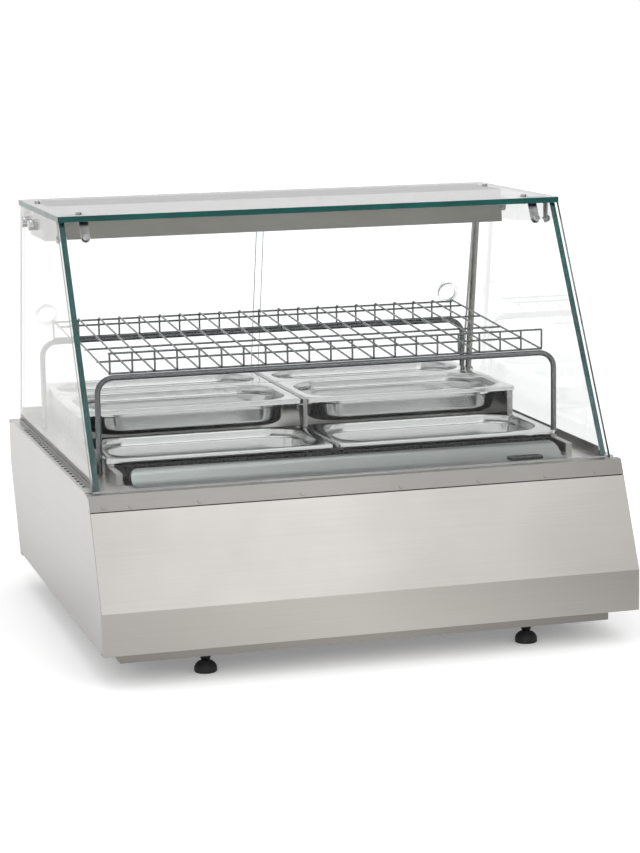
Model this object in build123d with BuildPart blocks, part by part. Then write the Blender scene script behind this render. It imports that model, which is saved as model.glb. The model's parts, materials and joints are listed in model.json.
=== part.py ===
"""Countertop refrigerated display case with a slanted glass hood.

Millimetres. X runs to the right, Y towards the operator's side at the back, Z up.
The origin is the centre of the footprint at the height of the worktop.
"""
import os
from math import atan, cos, radians, sin, tan

from build123d import *

os.makedirs("parts", exist_ok=True)

# Overall size
overall_width = 758.0
overall_depth = 724.0
half_width = overall_width / 2

# Heights of the casing
plinth_bottom = 24.2
plinth_height = 20.4
casing_bottom = plinth_bottom + plinth_height
band_top = 102.0
trim_bottom = 227.1
deck_top = 247.2
rear_crease = 182.0

# Setbacks of the casing from its foremost plane
panel_setback = 56.0
trim_setback = 56.7
deck_setback = 67.0
rear_bottom_setback = 62.0

# Sheet metal and clearances
sheet = 1.2
thin_sheet = 0.8
rest_gap = 0.3
seat_gap = 0.2
fold_return = 20.0

# Glass hood
glass = 8.0
hood_tilt = 29.9
front_glass_foot = 83.0
front_glass_setback = 9.1
side_glass_setback = 12.1
top_glass_front = 279.3
top_glass_rear = overall_depth - 111.5
top_glass_setback = 9.4
hood_top = 599.5
glass_joint = 0.3
rear_glass_foot = overall_depth - 34.0
rear_lean = atan(0.23)
pane_bottom_gap = 0.2
front_glass_half = half_width - front_glass_setback
side_glass_outer = half_width - side_glass_setback
top_glass_half = half_width - top_glass_setback

# Glass channels
channel_wall = 1.2
channel_inner_height = 13.0
channel_outer_height = 6.4
channel_rear = rear_glass_foot - 1.0
front_channel_depth = 9.0

# Vent slots beside the glass
vent_count = 25
vent_first = 136.6
vent_last = overall_depth - 112.5
vent_width = 5.0
vent_length = 9.5
vent_offset = 7.5

# Sliding doors
door_glass = 5.0
door_overlap_right = 10.0
door_overlap_left = 0.5
door_side_gap = 2.4
track_wall = 2.0
track_groove = 6.0
track_end_gap = 1.6
sill_height = 25.0
sill_groove = 9.0
head_height = 22.0
head_groove = 17.0
door_lift_play = 5.0
pull_hole = 30.0
pull_flange = 36.0
pull_rim = 1.0
pull_height = 180.0
pull_inset = 34.0

# Well under the pans
well_half = half_width - 61.2
well_front = 120.0
well_rear = 478.0
well_floor = 150.0
drain_diameter = 20.0
insulation_half = half_width - 29.0
insulation_wall = 16.0
insulation_bottom = 52.0

# Pans: a rim with a skirt, a stacking step and a tapered bowl
pan_length = 325.0
pan_width = 176.0
rear_pan_width = 126.0
pan_gap = 8.0
pan_depth = 40.0
pan_skirt = 6.0
pan_step = 12.0
pan_step_inset = 2.5
pan_wall_inset = 11.5
pan_bowl_radius = 50.0
pan_rim_radius = 5.0
pan_taper = 5.0
front_pan_y = 189.0
front_pan_rim = 271.0
middle_pan_y = 354.0
rear_pan_y = 532.0
raised_pan_rim = 311.0

# Rails that carry the pans
rail_width = 9.2
rail_seat = 9.0
rail_inner = pan_gap / 2 + pan_length - rail_seat
rail_front = 128.0
rail_step = 15.0
rail_rear = 656.0
centre_web = 6.0
centre_flange = 20.0
flange_sheet = 2.0

# Duct cover
duct_half = half_width - 70.0
duct_front = 94.6
duct_crease = 117.0
duct_rear = 140.0
duct_top = 266.0
duct_corner = 12.0
duct_slots = 24
duct_slot_pitch = 24.0
duct_slot_width = 15.0
duct_slot_height = 8.0
display_x = 250.0
display_length = 48.0
display_width = 19.0
display_height = 4.0

# Wire shelf
shelf_front = 213.0
shelf_rear = 612.0
shelf_tube = 8.0
shelf_leg_x = half_width - 44.0
shelf_bar = 380.7
shelf_bend = 22.0
shelf_foot = 10.0
shelf_foot_height = 4.0
wire = 3.0
wire_count = 21
wire_pitch = 2 * (half_width - 62.5) / (wire_count - 1)
gallery = 28.0
cross_pitch = 88.0
cross_rows = 4

# Lamp under the top glass
lamp_front_top = 470.0
lamp_front_bottom = 465.0
lamp_rear = 590.0
lamp_bottom = 549.0
lamp_half = half_width - 29.0
lamp_cap = 20.0
lamp_return = 12.0
tube_diameter = 16.0
tube_y = 527.0
tube_z = 568.0
holder_length = 14.0
conduit_diameter = 10.0
conduit_x = half_width - 31.5
conduit_foot_y = rear_glass_foot - 62.9
conduit_lean = 0.176
collar_height = 52.0
collar_diameter = 18.0
collar_length = 5.0
sleeve_diameter = 14.0

# Glass fixings
bolt_head = 10.0
bolt_head_height = 2.2
bolt_hole = 6.5
bolt_shank = 5.0
front_bolt = (half_width - 47.0, 324.0)
rear_bolt = (half_width - 27.0, 547.0)
bracket_sheet = 2.0
bracket_width = 13.0
bracket_drop = 563.0
bracket_side_y = 303.0
nut_z = 570.6
side_bolt_z = 566.0
cap_diameter = 16.0
cap_height = 7.0
cap_places = (504.5, 562.0)
cap_z = 570.0

# Feet
foot_x = 230.0
foot_inset = 50.0
pad_diameter = 31.0
pad_height = 15.0
stem_diameter = 8.0
cone_diameter = 22.0
cone_bottom = 15.5
stem_top = 42.0
thread_clearance = 0.1
plinth_half = half_width - 30.2
plinth_front = 38.0
plinth_rear = overall_depth - 84.0
plinth_sheet = 2.0
plinth_flange = 26.0

# Trim screws
trim_screw_x = (19.0 - half_width, 55.0 - half_width, -230.0, -87.5, 52.0, 165.0, 263.5, half_width - 41.0)
screw_head = 6.0
screw_head_height = 1.0
screw_shank = 3.0
screw_length = 6.0
screw_z = 232.0

# Cooling unit
grille_slots = 17
grille_pitch = 14.0
grille_slot = 6.0
grille_length = 78.0
grille_x = 185.0
compressor_x = -200.0
compressor_y = overall_depth - 142.0
compressor_radius = 66.0
compressor_height = 120.0
compressor_plate = (150.0, 126.0)
compressor_feet = (124.0, 100.0)
terminal_box = (30.0, 44.0, 46.0)
coil_fins = 24
condenser_size = (230.0, 40.0, 128.0)
condenser_y = compressor_y - 42.0
condenser_z = 122.0
evaporator_size = (500.0, 80.0, 60.0)
evaporator_y = 425.0
evaporator_z = 192.0
small_fan_x = 140.0
small_fan_y = 364.0
small_fan_z = 190.0
small_fan_frame = 76.0
small_fan_blade = 33.0
fan_frame_depth = 25.0
large_fan_blade = 54.0
blade_clearance = 2.0
pipe_diameter = 8.0

# Controls on the sloped back
knob_x = -150.0
knob_diameter = 34.0
knob_height = 14.0
control_height = 100.0
switch_x = (-90.0, -50.0)
rocker_tilt = 10.0
rocker_width = 17.0
rocker_half = 12.0
rocker_depth = 8.0
rocker_pin = 3.0
pocket_half = 13.2
pocket_clearance = 0.7
gland_x = -310.0
gland_height = 32.0
gland_diameter = 24.0
cord_bore = 8.0

side_glass_inner = side_glass_outer - glass
rear_bottom = overall_depth - rear_bottom_setback
lean_cos = cos(rear_lean)
lean_sin = sin(rear_lean)


def behind(distance):
    """Y of a plane that lies this far behind the casing's foremost plane."""
    return distance - overall_depth / 2


def side_points(points):
    """Points given as (distance behind the front, height) for a side-view sketch."""
    return [(behind(distance), height) for distance, height in points]


def folded_sheet(points, thickness, side):
    """Closed side-view outline of a sheet folded along the given points."""
    with BuildLine() as outline:
        Polyline(*side_points(points))
        offset(amount=thickness, side=side, kind=Kind.INTERSECTION)
    return outline.line


def save(part, name):
    """Label a finished piece and write it to its own file."""
    part.label = name
    export_step(part, f"parts/{name}.step")


def front_glass_line(height):
    """Distance of the front glass's outer face behind the front, at a height."""
    return front_glass_foot + (height - deck_top) * tan(radians(hood_tilt))


def door_line(height):
    """Distance of the door track's rear face behind the front, at a height."""
    return rear_glass_foot - (height - deck_top) * tan(rear_lean)


tilt_cos = cos(radians(hood_tilt))
tilt_sin = sin(radians(hood_tilt))
front_glass_back = glass / tilt_cos
channel_front = front_glass_line(deck_top + channel_inner_height) + front_glass_back + seat_gap
glass_under_top = hood_top - glass - glass_joint
rear_plane = Plane(
    origin=(0, behind(rear_bottom), casing_bottom),
    x_dir=(-1, 0, 0),
    z_dir=(0, rear_crease - casing_bottom, -rear_bottom_setback),
)
nut_plane = Plane(
    origin=(0, behind(front_glass_line(nut_z)), nut_z),
    x_dir=(1, 0, 0),
    z_dir=(0, -tilt_cos, tilt_sin),
)
door_plane = Plane(
    origin=(0, behind(rear_glass_foot), deck_top),
    x_dir=(1, 0, 0),
    z_dir=(0, -lean_cos, -lean_sin),
)

# Front panel: one folded sheet from the bottom return to the trim
with BuildPart() as front_panel:
    with BuildSketch(Plane.YZ.offset(-half_width)):
        add(folded_sheet(
            [(fold_return, casing_bottom), (0, casing_bottom), (0, band_top),
             (panel_setback, trim_bottom - sheet), (panel_setback + fold_return, trim_bottom - sheet)],
            sheet, Side.RIGHT))
        make_face()
    extrude(amount=overall_width)
save(front_panel.part, "front_panel")

# Front trim: the strip over the panel's top edge, screwed on along its lower part
trim_face_length = ((deck_setback - trim_setback) ** 2 + (deck_top - trim_bottom) ** 2) ** 0.5
trim_plane = Plane(
    origin=(0, behind(trim_setback), trim_bottom),
    x_dir=(1, 0, 0),
    z_dir=(0, trim_bottom - deck_top, deck_setback - trim_setback),
)
screw_up_trim = (screw_z - trim_bottom) * trim_face_length / (deck_top - trim_bottom)
with BuildPart() as front_trim:
    with BuildSketch(Plane.YZ.offset(-half_width)):
        add(folded_sheet(
            [(trim_setback + 9, trim_bottom), (trim_setback, trim_bottom), (deck_setback, deck_top),
             (front_glass_line(deck_top - sheet) - channel_wall - seat_gap, deck_top)],
            sheet, Side.RIGHT))
        make_face()
    extrude(amount=overall_width)
    with BuildSketch(trim_plane):
        with Locations(*[(x, screw_up_trim) for x in trim_screw_x]):
            Circle(screw_shank / 2 + seat_gap)
    extrude(amount=-screw_length, mode=Mode.SUBTRACT)
save(front_trim.part, "front_trim")

# Trim screws: low round heads with plain shanks
with BuildPart() as trim_screws:
    with BuildSketch(trim_plane):
        with Locations(*[(x, screw_up_trim) for x in trim_screw_x]):
            Circle(screw_head / 2)
    extrude(amount=screw_head_height)
    with BuildSketch(trim_plane):
        with Locations(*[(x, screw_up_trim) for x in trim_screw_x]):
            Circle(screw_shank / 2)
    extrude(amount=-screw_length)
save(trim_screws.part, "trim_screws")

# Rear panel: folded like the casing's back, with an air grille and holes for the controls
knob_hole = 10.0
with BuildPart() as rear_panel:
    with BuildSketch(Plane.YZ.offset(-half_width)):
        add(folded_sheet(
            [(rear_bottom - fold_return, casing_bottom), (rear_bottom, casing_bottom),
             (overall_depth, rear_crease), (overall_depth, deck_top),
             (overall_depth - fold_return, deck_top)],
            sheet, Side.LEFT))
        make_face()
    extrude(amount=overall_width)
    with BuildSketch(rear_plane):
        with Locations((-grille_x, control_height - grille_length / 4)):
            with GridLocations(grille_pitch, 1, grille_slots, 1):
                SlotOverall(grille_length, grille_slot, rotation=90)
        with Locations((-knob_x, control_height)):
            Circle(knob_hole / 2)
        with Locations(*[(-x, control_height) for x in switch_x]):
            Rectangle(rocker_width + 4, 2 * pocket_half + 4)
        with Locations((-gland_x, gland_height)):
            Circle(gland_diameter / 2 - 4 + seat_gap)
    extrude(amount=-2 * sheet, mode=Mode.SUBTRACT)
save(rear_panel.part, "rear_panel")


def make_side_panel(sign):
    """Side wall with a top flange that carries the row of vent slots."""
    with BuildPart() as side:
        with BuildSketch(Plane.YZ.offset(sign * half_width)):
            with BuildLine():
                Polyline(*side_points([
                    (0, casing_bottom), (0, band_top), (trim_setback, trim_bottom),
                    (deck_setback, deck_top), (overall_depth, deck_top),
                    (overall_depth, rear_crease), (rear_bottom, casing_bottom)]), close=True)
            make_face()
            offset(amount=-2 * sheet, kind=Kind.INTERSECTION)
        extrude(amount=-sign * sheet)
        flange_front = front_glass_foot + front_glass_back + channel_wall
        flange_width = half_width - side_glass_inner - seat_gap + channel_wall
        flange_length = overall_depth - fold_return - seat_gap - flange_front
        vent_x = sign * (half_width - vent_offset)
        with BuildSketch(Plane.XY.offset(deck_top)):
            with Locations((sign * (half_width - flange_width / 2), behind(flange_front + flange_length / 2))):
                Rectangle(flange_width, flange_length)
            with Locations((vent_x, behind((vent_first + vent_last) / 2))):
                with GridLocations(1, (vent_last - vent_first) / (vent_count - 1), 1, vent_count):
                    Rectangle(vent_width, vent_length, mode=Mode.SUBTRACT)
        extrude(amount=-2 * sheet)
        for neighbour in (front_panel, front_trim, rear_panel):
            add(neighbour.part, mode=Mode.SUBTRACT)
    return side.part


for side_name, side_sign in (("left", -1), ("right", 1)):
    save(make_side_panel(side_sign), f"side_panel_{side_name}")

# Base pan: the bottom sheet, with air slots under the compressor
with BuildPart() as base_pan:
    with BuildSketch(Plane.XY.offset(casing_bottom)):
        base_front = fold_return + seat_gap
        base_rear = rear_bottom - fold_return - seat_gap
        with Locations((0, behind((base_front + base_rear) / 2))):
            Rectangle(overall_width - 2 * sheet - 2 * seat_gap, base_rear - base_front)
        with Locations((-60, behind(compressor_y))):
            with GridLocations(16, 1, 8, 1):
                SlotOverall(70, 6, rotation=90, mode=Mode.SUBTRACT)
        with Locations((0, behind(well_rear - 60))):
            Circle(drain_diameter / 2 + seat_gap, mode=Mode.SUBTRACT)
    extrude(amount=sheet)
save(base_pan.part, "base_pan")

# Plinth: a ring of folded sheet whose lower flange takes the feet
plinth_length = plinth_rear - plinth_front
foot_places = [(x, behind(y)) for x in (-foot_x, foot_x)
               for y in (foot_inset, plinth_rear + plinth_front - foot_inset)]
with BuildPart() as plinth:
    with BuildSketch(Plane.XY.offset(plinth_bottom)):
        with Locations((0, behind((plinth_front + plinth_rear) / 2))):
            Rectangle(2 * plinth_half, plinth_length)
            Rectangle(2 * (plinth_half - plinth_sheet), plinth_length - 2 * plinth_sheet, mode=Mode.SUBTRACT)
    extrude(amount=plinth_height)
    with BuildSketch(Plane.XY.offset(plinth_bottom)):
        with Locations((0, behind((plinth_front + plinth_rear) / 2))):
            Rectangle(2 * plinth_half, plinth_length)
            Rectangle(2 * (plinth_half - plinth_flange), plinth_length - 2 * plinth_flange, mode=Mode.SUBTRACT)
        with Locations(*foot_places):
            Circle(stem_diameter / 2 + thread_clearance, mode=Mode.SUBTRACT)
    extrude(amount=plinth_sheet)
save(plinth.part, "plinth")


def make_foot_pad(x, y):
    """Rubber pad with a domed shoulder and a bore for the stem."""
    with BuildPart() as pad:
        with BuildSketch(Plane(origin=(x, y, 0), z_dir=(0, -1, 0), x_dir=(1, 0, 0))):
            with BuildLine():
                Polyline((stem_diameter / 2 + thread_clearance, pad_height), (stem_diameter / 2 + thread_clearance, 4),
                         (0, 4), (0, 0), (pad_diameter / 2 - 1, 0), (pad_diameter / 2, 1), (pad_diameter / 2, 6))
                RadiusArc((pad_diameter / 2, 6), (8, pad_height), -12)
                Line((8, pad_height), (stem_diameter / 2 + thread_clearance, pad_height))
            make_face()
        revolve(axis=Axis((x, y, 0), (0, 0, 1)))
    return pad.part


def make_foot_stem(x, y):
    """Threaded stem with the cone that locks under the plinth."""
    with BuildPart() as stem:
        with BuildSketch(Plane.XY.offset(4)):
            with Locations((x, y)):
                Circle(stem_diameter / 2)
        extrude(amount=stem_top - 4)
        with BuildSketch(Plane.XY.offset(cone_bottom)):
            with Locations((x, y)):
                Circle(stem_diameter / 2 + 0.5)
        with BuildSketch(Plane.XY.offset(plinth_bottom - seat_gap)):
            with Locations((x, y)):
                Circle(cone_diameter / 2)
        loft()
    return stem.part


foot_names = ["front_left", "rear_left", "front_right", "rear_right"]
for foot_name, (x_foot, y_foot) in zip(foot_names, foot_places):
    save(make_foot_pad(x_foot, y_foot), f"foot_pad_{foot_name}")
    save(make_foot_stem(x_foot, y_foot), f"foot_stem_{foot_name}")

# Deck: the top sheet between the side flanges, open over the well
deck_front = front_glass_foot + front_glass_back + channel_wall + seat_gap
deck_rear = overall_depth - fold_return - seat_gap
with BuildPart() as deck:
    with BuildSketch(Plane.XY.offset(deck_top)):
        with Locations((0, behind((deck_front + deck_rear) / 2))):
            Rectangle(2 * (side_glass_inner - channel_wall), deck_rear - deck_front)
        with Locations((0, behind((well_front + well_rear) / 2))):
            Rectangle(2 * well_half, well_rear - well_front, mode=Mode.SUBTRACT)
    extrude(amount=-2 * sheet)
save(deck.part, "deck")

# Tub: the stainless well that holds the evaporator, with its drain pipe
tub_top = deck_top - 2 * sheet
tub_centre = behind((well_front + well_rear) / 2)
with BuildPart() as tub:
    with BuildSketch(Plane.XY.offset(well_floor)):
        with Locations((0, tub_centre)):
            RectangleRounded(2 * well_half, well_rear - well_front, 12)
    extrude(amount=tub_top - well_floor)
    with BuildSketch(Plane.XY.offset(well_floor + sheet)):
        with Locations((0, tub_centre)):
            RectangleRounded(2 * (well_half - sheet), well_rear - well_front - 2 * sheet, 12 - sheet)
    extrude(amount=tub_top - well_floor, mode=Mode.SUBTRACT)
    with BuildSketch(Plane.XY.offset(well_floor + sheet)):
        with Locations((0, behind(well_rear - 60))):
            Circle(drain_diameter / 2)
    extrude(amount=-(well_floor + sheet - casing_bottom))
    with BuildSketch(Plane.XY.offset(well_floor + sheet)):
        with Locations((0, behind(well_rear - 60))):
            Circle(drain_diameter / 2 - 2 * sheet)
    extrude(amount=-(well_floor + sheet - casing_bottom), mode=Mode.SUBTRACT)
    with BuildSketch(Plane.XZ.offset(-behind(well_rear - 5 * sheet))):
        with Locations((compressor_x, evaporator_z + 10)):
            Circle(pipe_diameter / 2 + 2)
    extrude(amount=-10 * sheet, mode=Mode.SUBTRACT)
save(tub.part, "tub")

# Insulation: the foam block round the tub
foam_front = deck_front
foam_rear = well_rear + insulation_wall
with BuildPart() as insulation:
    with BuildSketch(Plane.XY.offset(insulation_bottom)):
        with Locations((0, behind((foam_front + foam_rear) / 2))):
            Rectangle(2 * insulation_half, foam_rear - foam_front)
    extrude(amount=tub_top - seat_gap - insulation_bottom)
    with BuildSketch(Plane.XY.offset(well_floor - seat_gap)):
        with Locations((0, tub_centre)):
            Rectangle(2 * (well_half + seat_gap), well_rear - well_front + 2 * seat_gap)
    extrude(amount=tub_top - well_floor + seat_gap, mode=Mode.SUBTRACT)
    with BuildSketch(Plane.XY.offset(insulation_bottom)):
        with Locations((0, behind(well_rear - 60))):
            Circle(drain_diameter / 2 + seat_gap)
    extrude(amount=well_floor - insulation_bottom, mode=Mode.SUBTRACT)
    with BuildSketch(Plane.XZ.offset(-behind(well_rear - 5 * sheet))):
        with Locations((compressor_x, evaporator_z + 10)):
            Circle(pipe_diameter / 2 + 2)
    extrude(amount=-insulation_wall - 10 * sheet, mode=Mode.SUBTRACT)
save(insulation.part, "insulation")


def make_coil(centre, size, gap_share):
    """Finned coil block: a tube bank with fins left standing above and below it."""
    length, depth, height = size
    pitch = length / coil_fins
    with BuildPart() as coil:
        with BuildSketch(Plane(origin=centre)):
            Rectangle(length, depth)
        extrude(amount=height / 2, both=True)
        for level in (height / 4, -height / 4):
            with BuildSketch(Plane(origin=(centre[0], centre[1], centre[2] + level * 1.25))):
                with GridLocations(pitch, 1, coil_fins - 1, 1):
                    Rectangle(pitch * gap_share, depth)
            extrude(amount=height * 3 / 16, both=True, mode=Mode.SUBTRACT)
    return coil.part


save(make_coil((0, behind(evaporator_y), evaporator_z), evaporator_size, 0.7), "evaporator")
save(make_coil((grille_x, behind(condenser_y), condenser_z), condenser_size, 0.6), "condenser")


def make_fan(centre, blade_radius):
    """Fan wheel that turns about Y: a hub with five pitched blades."""
    hub_radius = blade_radius * 0.4
    hub_length = blade_radius * 0.4
    hub_plane = Plane(origin=centre, x_dir=(1, 0, 0), z_dir=(0, -1, 0))
    with BuildPart() as fan:
        with BuildSketch(hub_plane):
            Circle(hub_radius)
        extrude(amount=hub_length / 2, both=True)
        with BuildSketch(hub_plane):
            for turn in range(5):
                with Locations(Rotation(0, 0, 72 * turn)):
                    with Locations((hub_radius * 0.5 + blade_radius * 0.5, 0)):
                        Rectangle(blade_radius - hub_radius * 0.5, blade_radius * 0.42)
            Circle(blade_radius, mode=Mode.INTERSECT)
        extrude(amount=0.8, both=True)
    return fan.part


small_fan_centres = [(sign * small_fan_x, behind(small_fan_y), small_fan_z) for sign in (-1, 1)]
for fan_name, fan_centre in zip(("left", "right"), small_fan_centres):
    save(make_fan(fan_centre, small_fan_blade), f"evaporator_fan_{fan_name}")

# Fan frames: square rings with a motor on three struts behind each wheel
with BuildPart() as fan_frames:
    with BuildSketch(Plane.XZ.offset(-behind(small_fan_y))):
        with Locations(*[(centre[0], centre[2]) for centre in small_fan_centres]):
            Rectangle(small_fan_frame, small_fan_frame)
            Circle(small_fan_blade + blade_clearance, mode=Mode.SUBTRACT)
    extrude(amount=fan_frame_depth / 2, both=True)
    with BuildSketch(Plane.XZ.offset(-behind(small_fan_y + fan_frame_depth / 2))):
        with Locations(*[(centre[0], centre[2]) for centre in small_fan_centres]):
            Rectangle(small_fan_frame, 5)
            Rectangle(5, small_fan_frame)
            Circle(small_fan_blade * 0.4)
    extrude(amount=3)
save(fan_frames.part, "fan_frames")

# Condenser shroud and the large fan that draws air through the condenser
shroud_y = condenser_y + condenser_size[1] / 2 + 2
large_fan_centre = (grille_x, behind(shroud_y + 22), condenser_z)
with BuildPart() as condenser_shroud:
    with BuildSketch(Plane.XZ.offset(-behind(shroud_y))):
        with Locations((grille_x, condenser_z)):
            Rectangle(condenser_size[0], condenser_size[2])
            Circle(large_fan_blade + blade_clearance, mode=Mode.SUBTRACT)
    extrude(amount=-sheet)
    with BuildSketch(Plane.XZ.offset(-behind(shroud_y + sheet))):
        with Locations((grille_x, condenser_z)):
            Circle(large_fan_blade + blade_clearance + sheet)
            Circle(large_fan_blade + blade_clearance, mode=Mode.SUBTRACT)
    extrude(amount=-30)
    with BuildSketch(Plane.XZ.offset(-behind(shroud_y))):
        with Locations((grille_x, condenser_z)):
            Rectangle(2 * (large_fan_blade + blade_clearance + sheet), 8)
            Circle(large_fan_blade * 0.4)
    extrude(amount=-5)
save(condenser_shroud.part, "condenser_shroud")
save(make_fan(large_fan_centre, large_fan_blade), "condenser_fan")

# Compressor: a domed steel pot on a base plate with four feet
pot_bottom = casing_bottom + sheet + 14
with BuildPart() as compressor:
    with BuildSketch(Plane.XY.offset(pot_bottom)):
        with Locations((compressor_x, behind(compressor_y))):
            Circle(compressor_radius)
    extrude(amount=compressor_height)
    fillet(compressor.edges().filter_by(GeomType.CIRCLE), radius=26)
    with BuildSketch(Plane.XY.offset(pot_bottom - 1)):
        with Locations((compressor_x, behind(compressor_y))):
            Rectangle(*compressor_plate)
    extrude(amount=3)
    with BuildSketch(Plane.XY.offset(casing_bottom + sheet)):
        with Locations((compressor_x, behind(compressor_y))):
            with GridLocations(*compressor_feet, 2, 2):
                Circle(9)
    extrude(amount=13)
    with BuildSketch(Plane.XY.offset(pot_bottom + 40)):
        with Locations((compressor_x + compressor_radius, behind(compressor_y))):
            Rectangle(*terminal_box[:2])
    extrude(amount=terminal_box[2])
save(compressor.part, "compressor")


def make_pipe(points, radii):
    """Round pipe along straight runs joined by bends."""
    with BuildPart() as pipe:
        with BuildLine() as route:
            FilletPolyline(*points, radius=radii)
        with BuildSketch(Plane(origin=route.line @ 0, z_dir=route.line % 0)):
            Circle(pipe_diameter / 2)
        sweep()
    return pipe.part


# Pipework: suction and liquid lines with the filter drier
suction_z = evaporator_z + 10
pot_top = pot_bottom + compressor_height
discharge_end = (grille_x - condenser_size[0] / 2, behind(condenser_y), condenser_z + 50)
suction = make_pipe(
    [(compressor_x, behind(evaporator_y + evaporator_size[1] / 2), suction_z),
     (compressor_x, behind(compressor_y - 30), suction_z),
     (compressor_x, behind(compressor_y - 30), pot_top)], 10)
discharge = make_pipe(
    [(compressor_x + 20, behind(compressor_y + 20), pot_top),
     (compressor_x + 20, behind(compressor_y + 20), pot_top + 30),
     (0, behind(compressor_y + 20), pot_top + 30),
     (0, behind(condenser_y), pot_top + 30),
     (0, behind(condenser_y), discharge_end[2]),
     discharge_end], 16)
with BuildPart() as pipework:
    add(suction)
    add(discharge)
    with BuildSketch(Plane.YZ.offset(10)):
        with Locations((behind(condenser_y), condenser_z)):
            Circle(10)
    extrude(amount=discharge_end[0] - 10)
    with BuildSketch(Plane.YZ.offset(-40)):
        with Locations((behind(condenser_y), condenser_z)):
            Circle(pipe_diameter / 4)
    extrude(amount=50)
save(pipework.part, "pipework")

# Rear controls: thermostat body, its shaft and the two switch housings
with BuildPart() as rear_controls:
    with BuildSketch(rear_plane.offset(-sheet)):
        with Locations((-knob_x, control_height)):
            Rectangle(40, 40)
    extrude(amount=-22)
    with BuildSketch(rear_plane.offset(-sheet)):
        with Locations((-knob_x, control_height)):
            Circle(3)
    extrude(amount=sheet + 9)
    with BuildSketch(rear_plane):
        with Locations(*[(-x, control_height) for x in switch_x]):
            Rectangle(rocker_width + 8, 2 * pocket_half + 8)
    extrude(amount=1.5)
    with BuildSketch(rear_plane):
        with Locations(*[(-x, control_height) for x in switch_x]):
            Rectangle(rocker_width + 3.4, 2 * pocket_half + 3.4)
    extrude(amount=-20)
    with BuildSketch(rear_plane.offset(1.5)):
        with Locations(*[(-x, control_height) for x in switch_x]):
            Rectangle(rocker_width + 2 * pocket_clearance, 2 * pocket_half)
    extrude(amount=-13, mode=Mode.SUBTRACT)
save(rear_controls.part, "rear_controls")

# Thermostat knob: fluted grip with a pointer groove
with BuildPart() as thermostat_knob:
    with BuildSketch(rear_plane.offset(rest_gap)):
        with Locations((-knob_x, control_height)):
            Circle(knob_diameter / 2)
    extrude(amount=knob_height, taper=4)
    with BuildSketch(rear_plane.offset(4)):
        with Locations((-knob_x, control_height)):
            with PolarLocations(knob_diameter / 2 + 1, 10):
                Circle(3)
    extrude(amount=knob_height, mode=Mode.SUBTRACT)
    with BuildSketch(rear_plane.offset(rest_gap)):
        with Locations((-knob_x, control_height)):
            Circle(3 + thread_clearance)
    extrude(amount=9, mode=Mode.SUBTRACT)
    with BuildSketch(rear_plane.offset(rest_gap + knob_height)):
        with Locations((-knob_x, control_height + knob_diameter / 4)):
            Rectangle(2, knob_diameter / 3)
    extrude(amount=-1, mode=Mode.SUBTRACT)
save(thermostat_knob.part, "thermostat_knob")


def make_rocker(x):
    """Rocker key: two flats that meet over the pivot, stored with one half pressed."""
    up_slope = (0, rear_bottom_setback, rear_crease - casing_bottom)
    pivot = rear_plane.from_local_coords((-x, control_height, 0))
    edge_rise = rocker_half * tan(radians(rocker_tilt))
    with BuildPart() as rocker:
        with BuildSketch(Plane(origin=pivot, x_dir=up_slope, z_dir=(-1, 0, 0))):
            Polygon((-rocker_half, 1.5 + edge_rise), (0, 1.5), (rocker_half, 1.5 + edge_rise),
                    (rocker_half * 0.65, 3 - rocker_depth), (-rocker_half * 0.65, 3 - rocker_depth),
                    rotation=rocker_tilt, align=None)
        extrude(amount=rocker_width / 2, both=True)
        with BuildSketch(Plane(origin=pivot, x_dir=up_slope, z_dir=(-1, 0, 0))):
            Circle(rocker_pin / 2)
        extrude(amount=rocker_width / 2 + pocket_clearance / 2, both=True)
    return rocker.part


for rocker_name, rocker_x in zip(("power", "lamp"), switch_x):
    save(make_rocker(rocker_x), f"{rocker_name}_rocker")

# Cable gland: flanged nut with a domed cap and the cord's bore
with BuildPart() as cable_gland:
    with BuildSketch(rear_plane):
        with Locations((-gland_x, gland_height)):
            RegularPolygon(gland_diameter / 2, 6)
    extrude(amount=6)
    with BuildSketch(rear_plane.offset(6)):
        with Locations((-gland_x, gland_height)):
            Circle(gland_diameter / 2 - 3)
    extrude(amount=10, taper=12)
    with BuildSketch(rear_plane):
        with Locations((-gland_x, gland_height)):
            Circle(gland_diameter / 2 - 4)
    extrude(amount=-10)
    with BuildSketch(rear_plane.offset(16)):
        with Locations((-gland_x, gland_height)):
            Circle(cord_bore / 2)
    extrude(amount=-26, mode=Mode.SUBTRACT)
save(cable_gland.part, "cable_gland")

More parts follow.
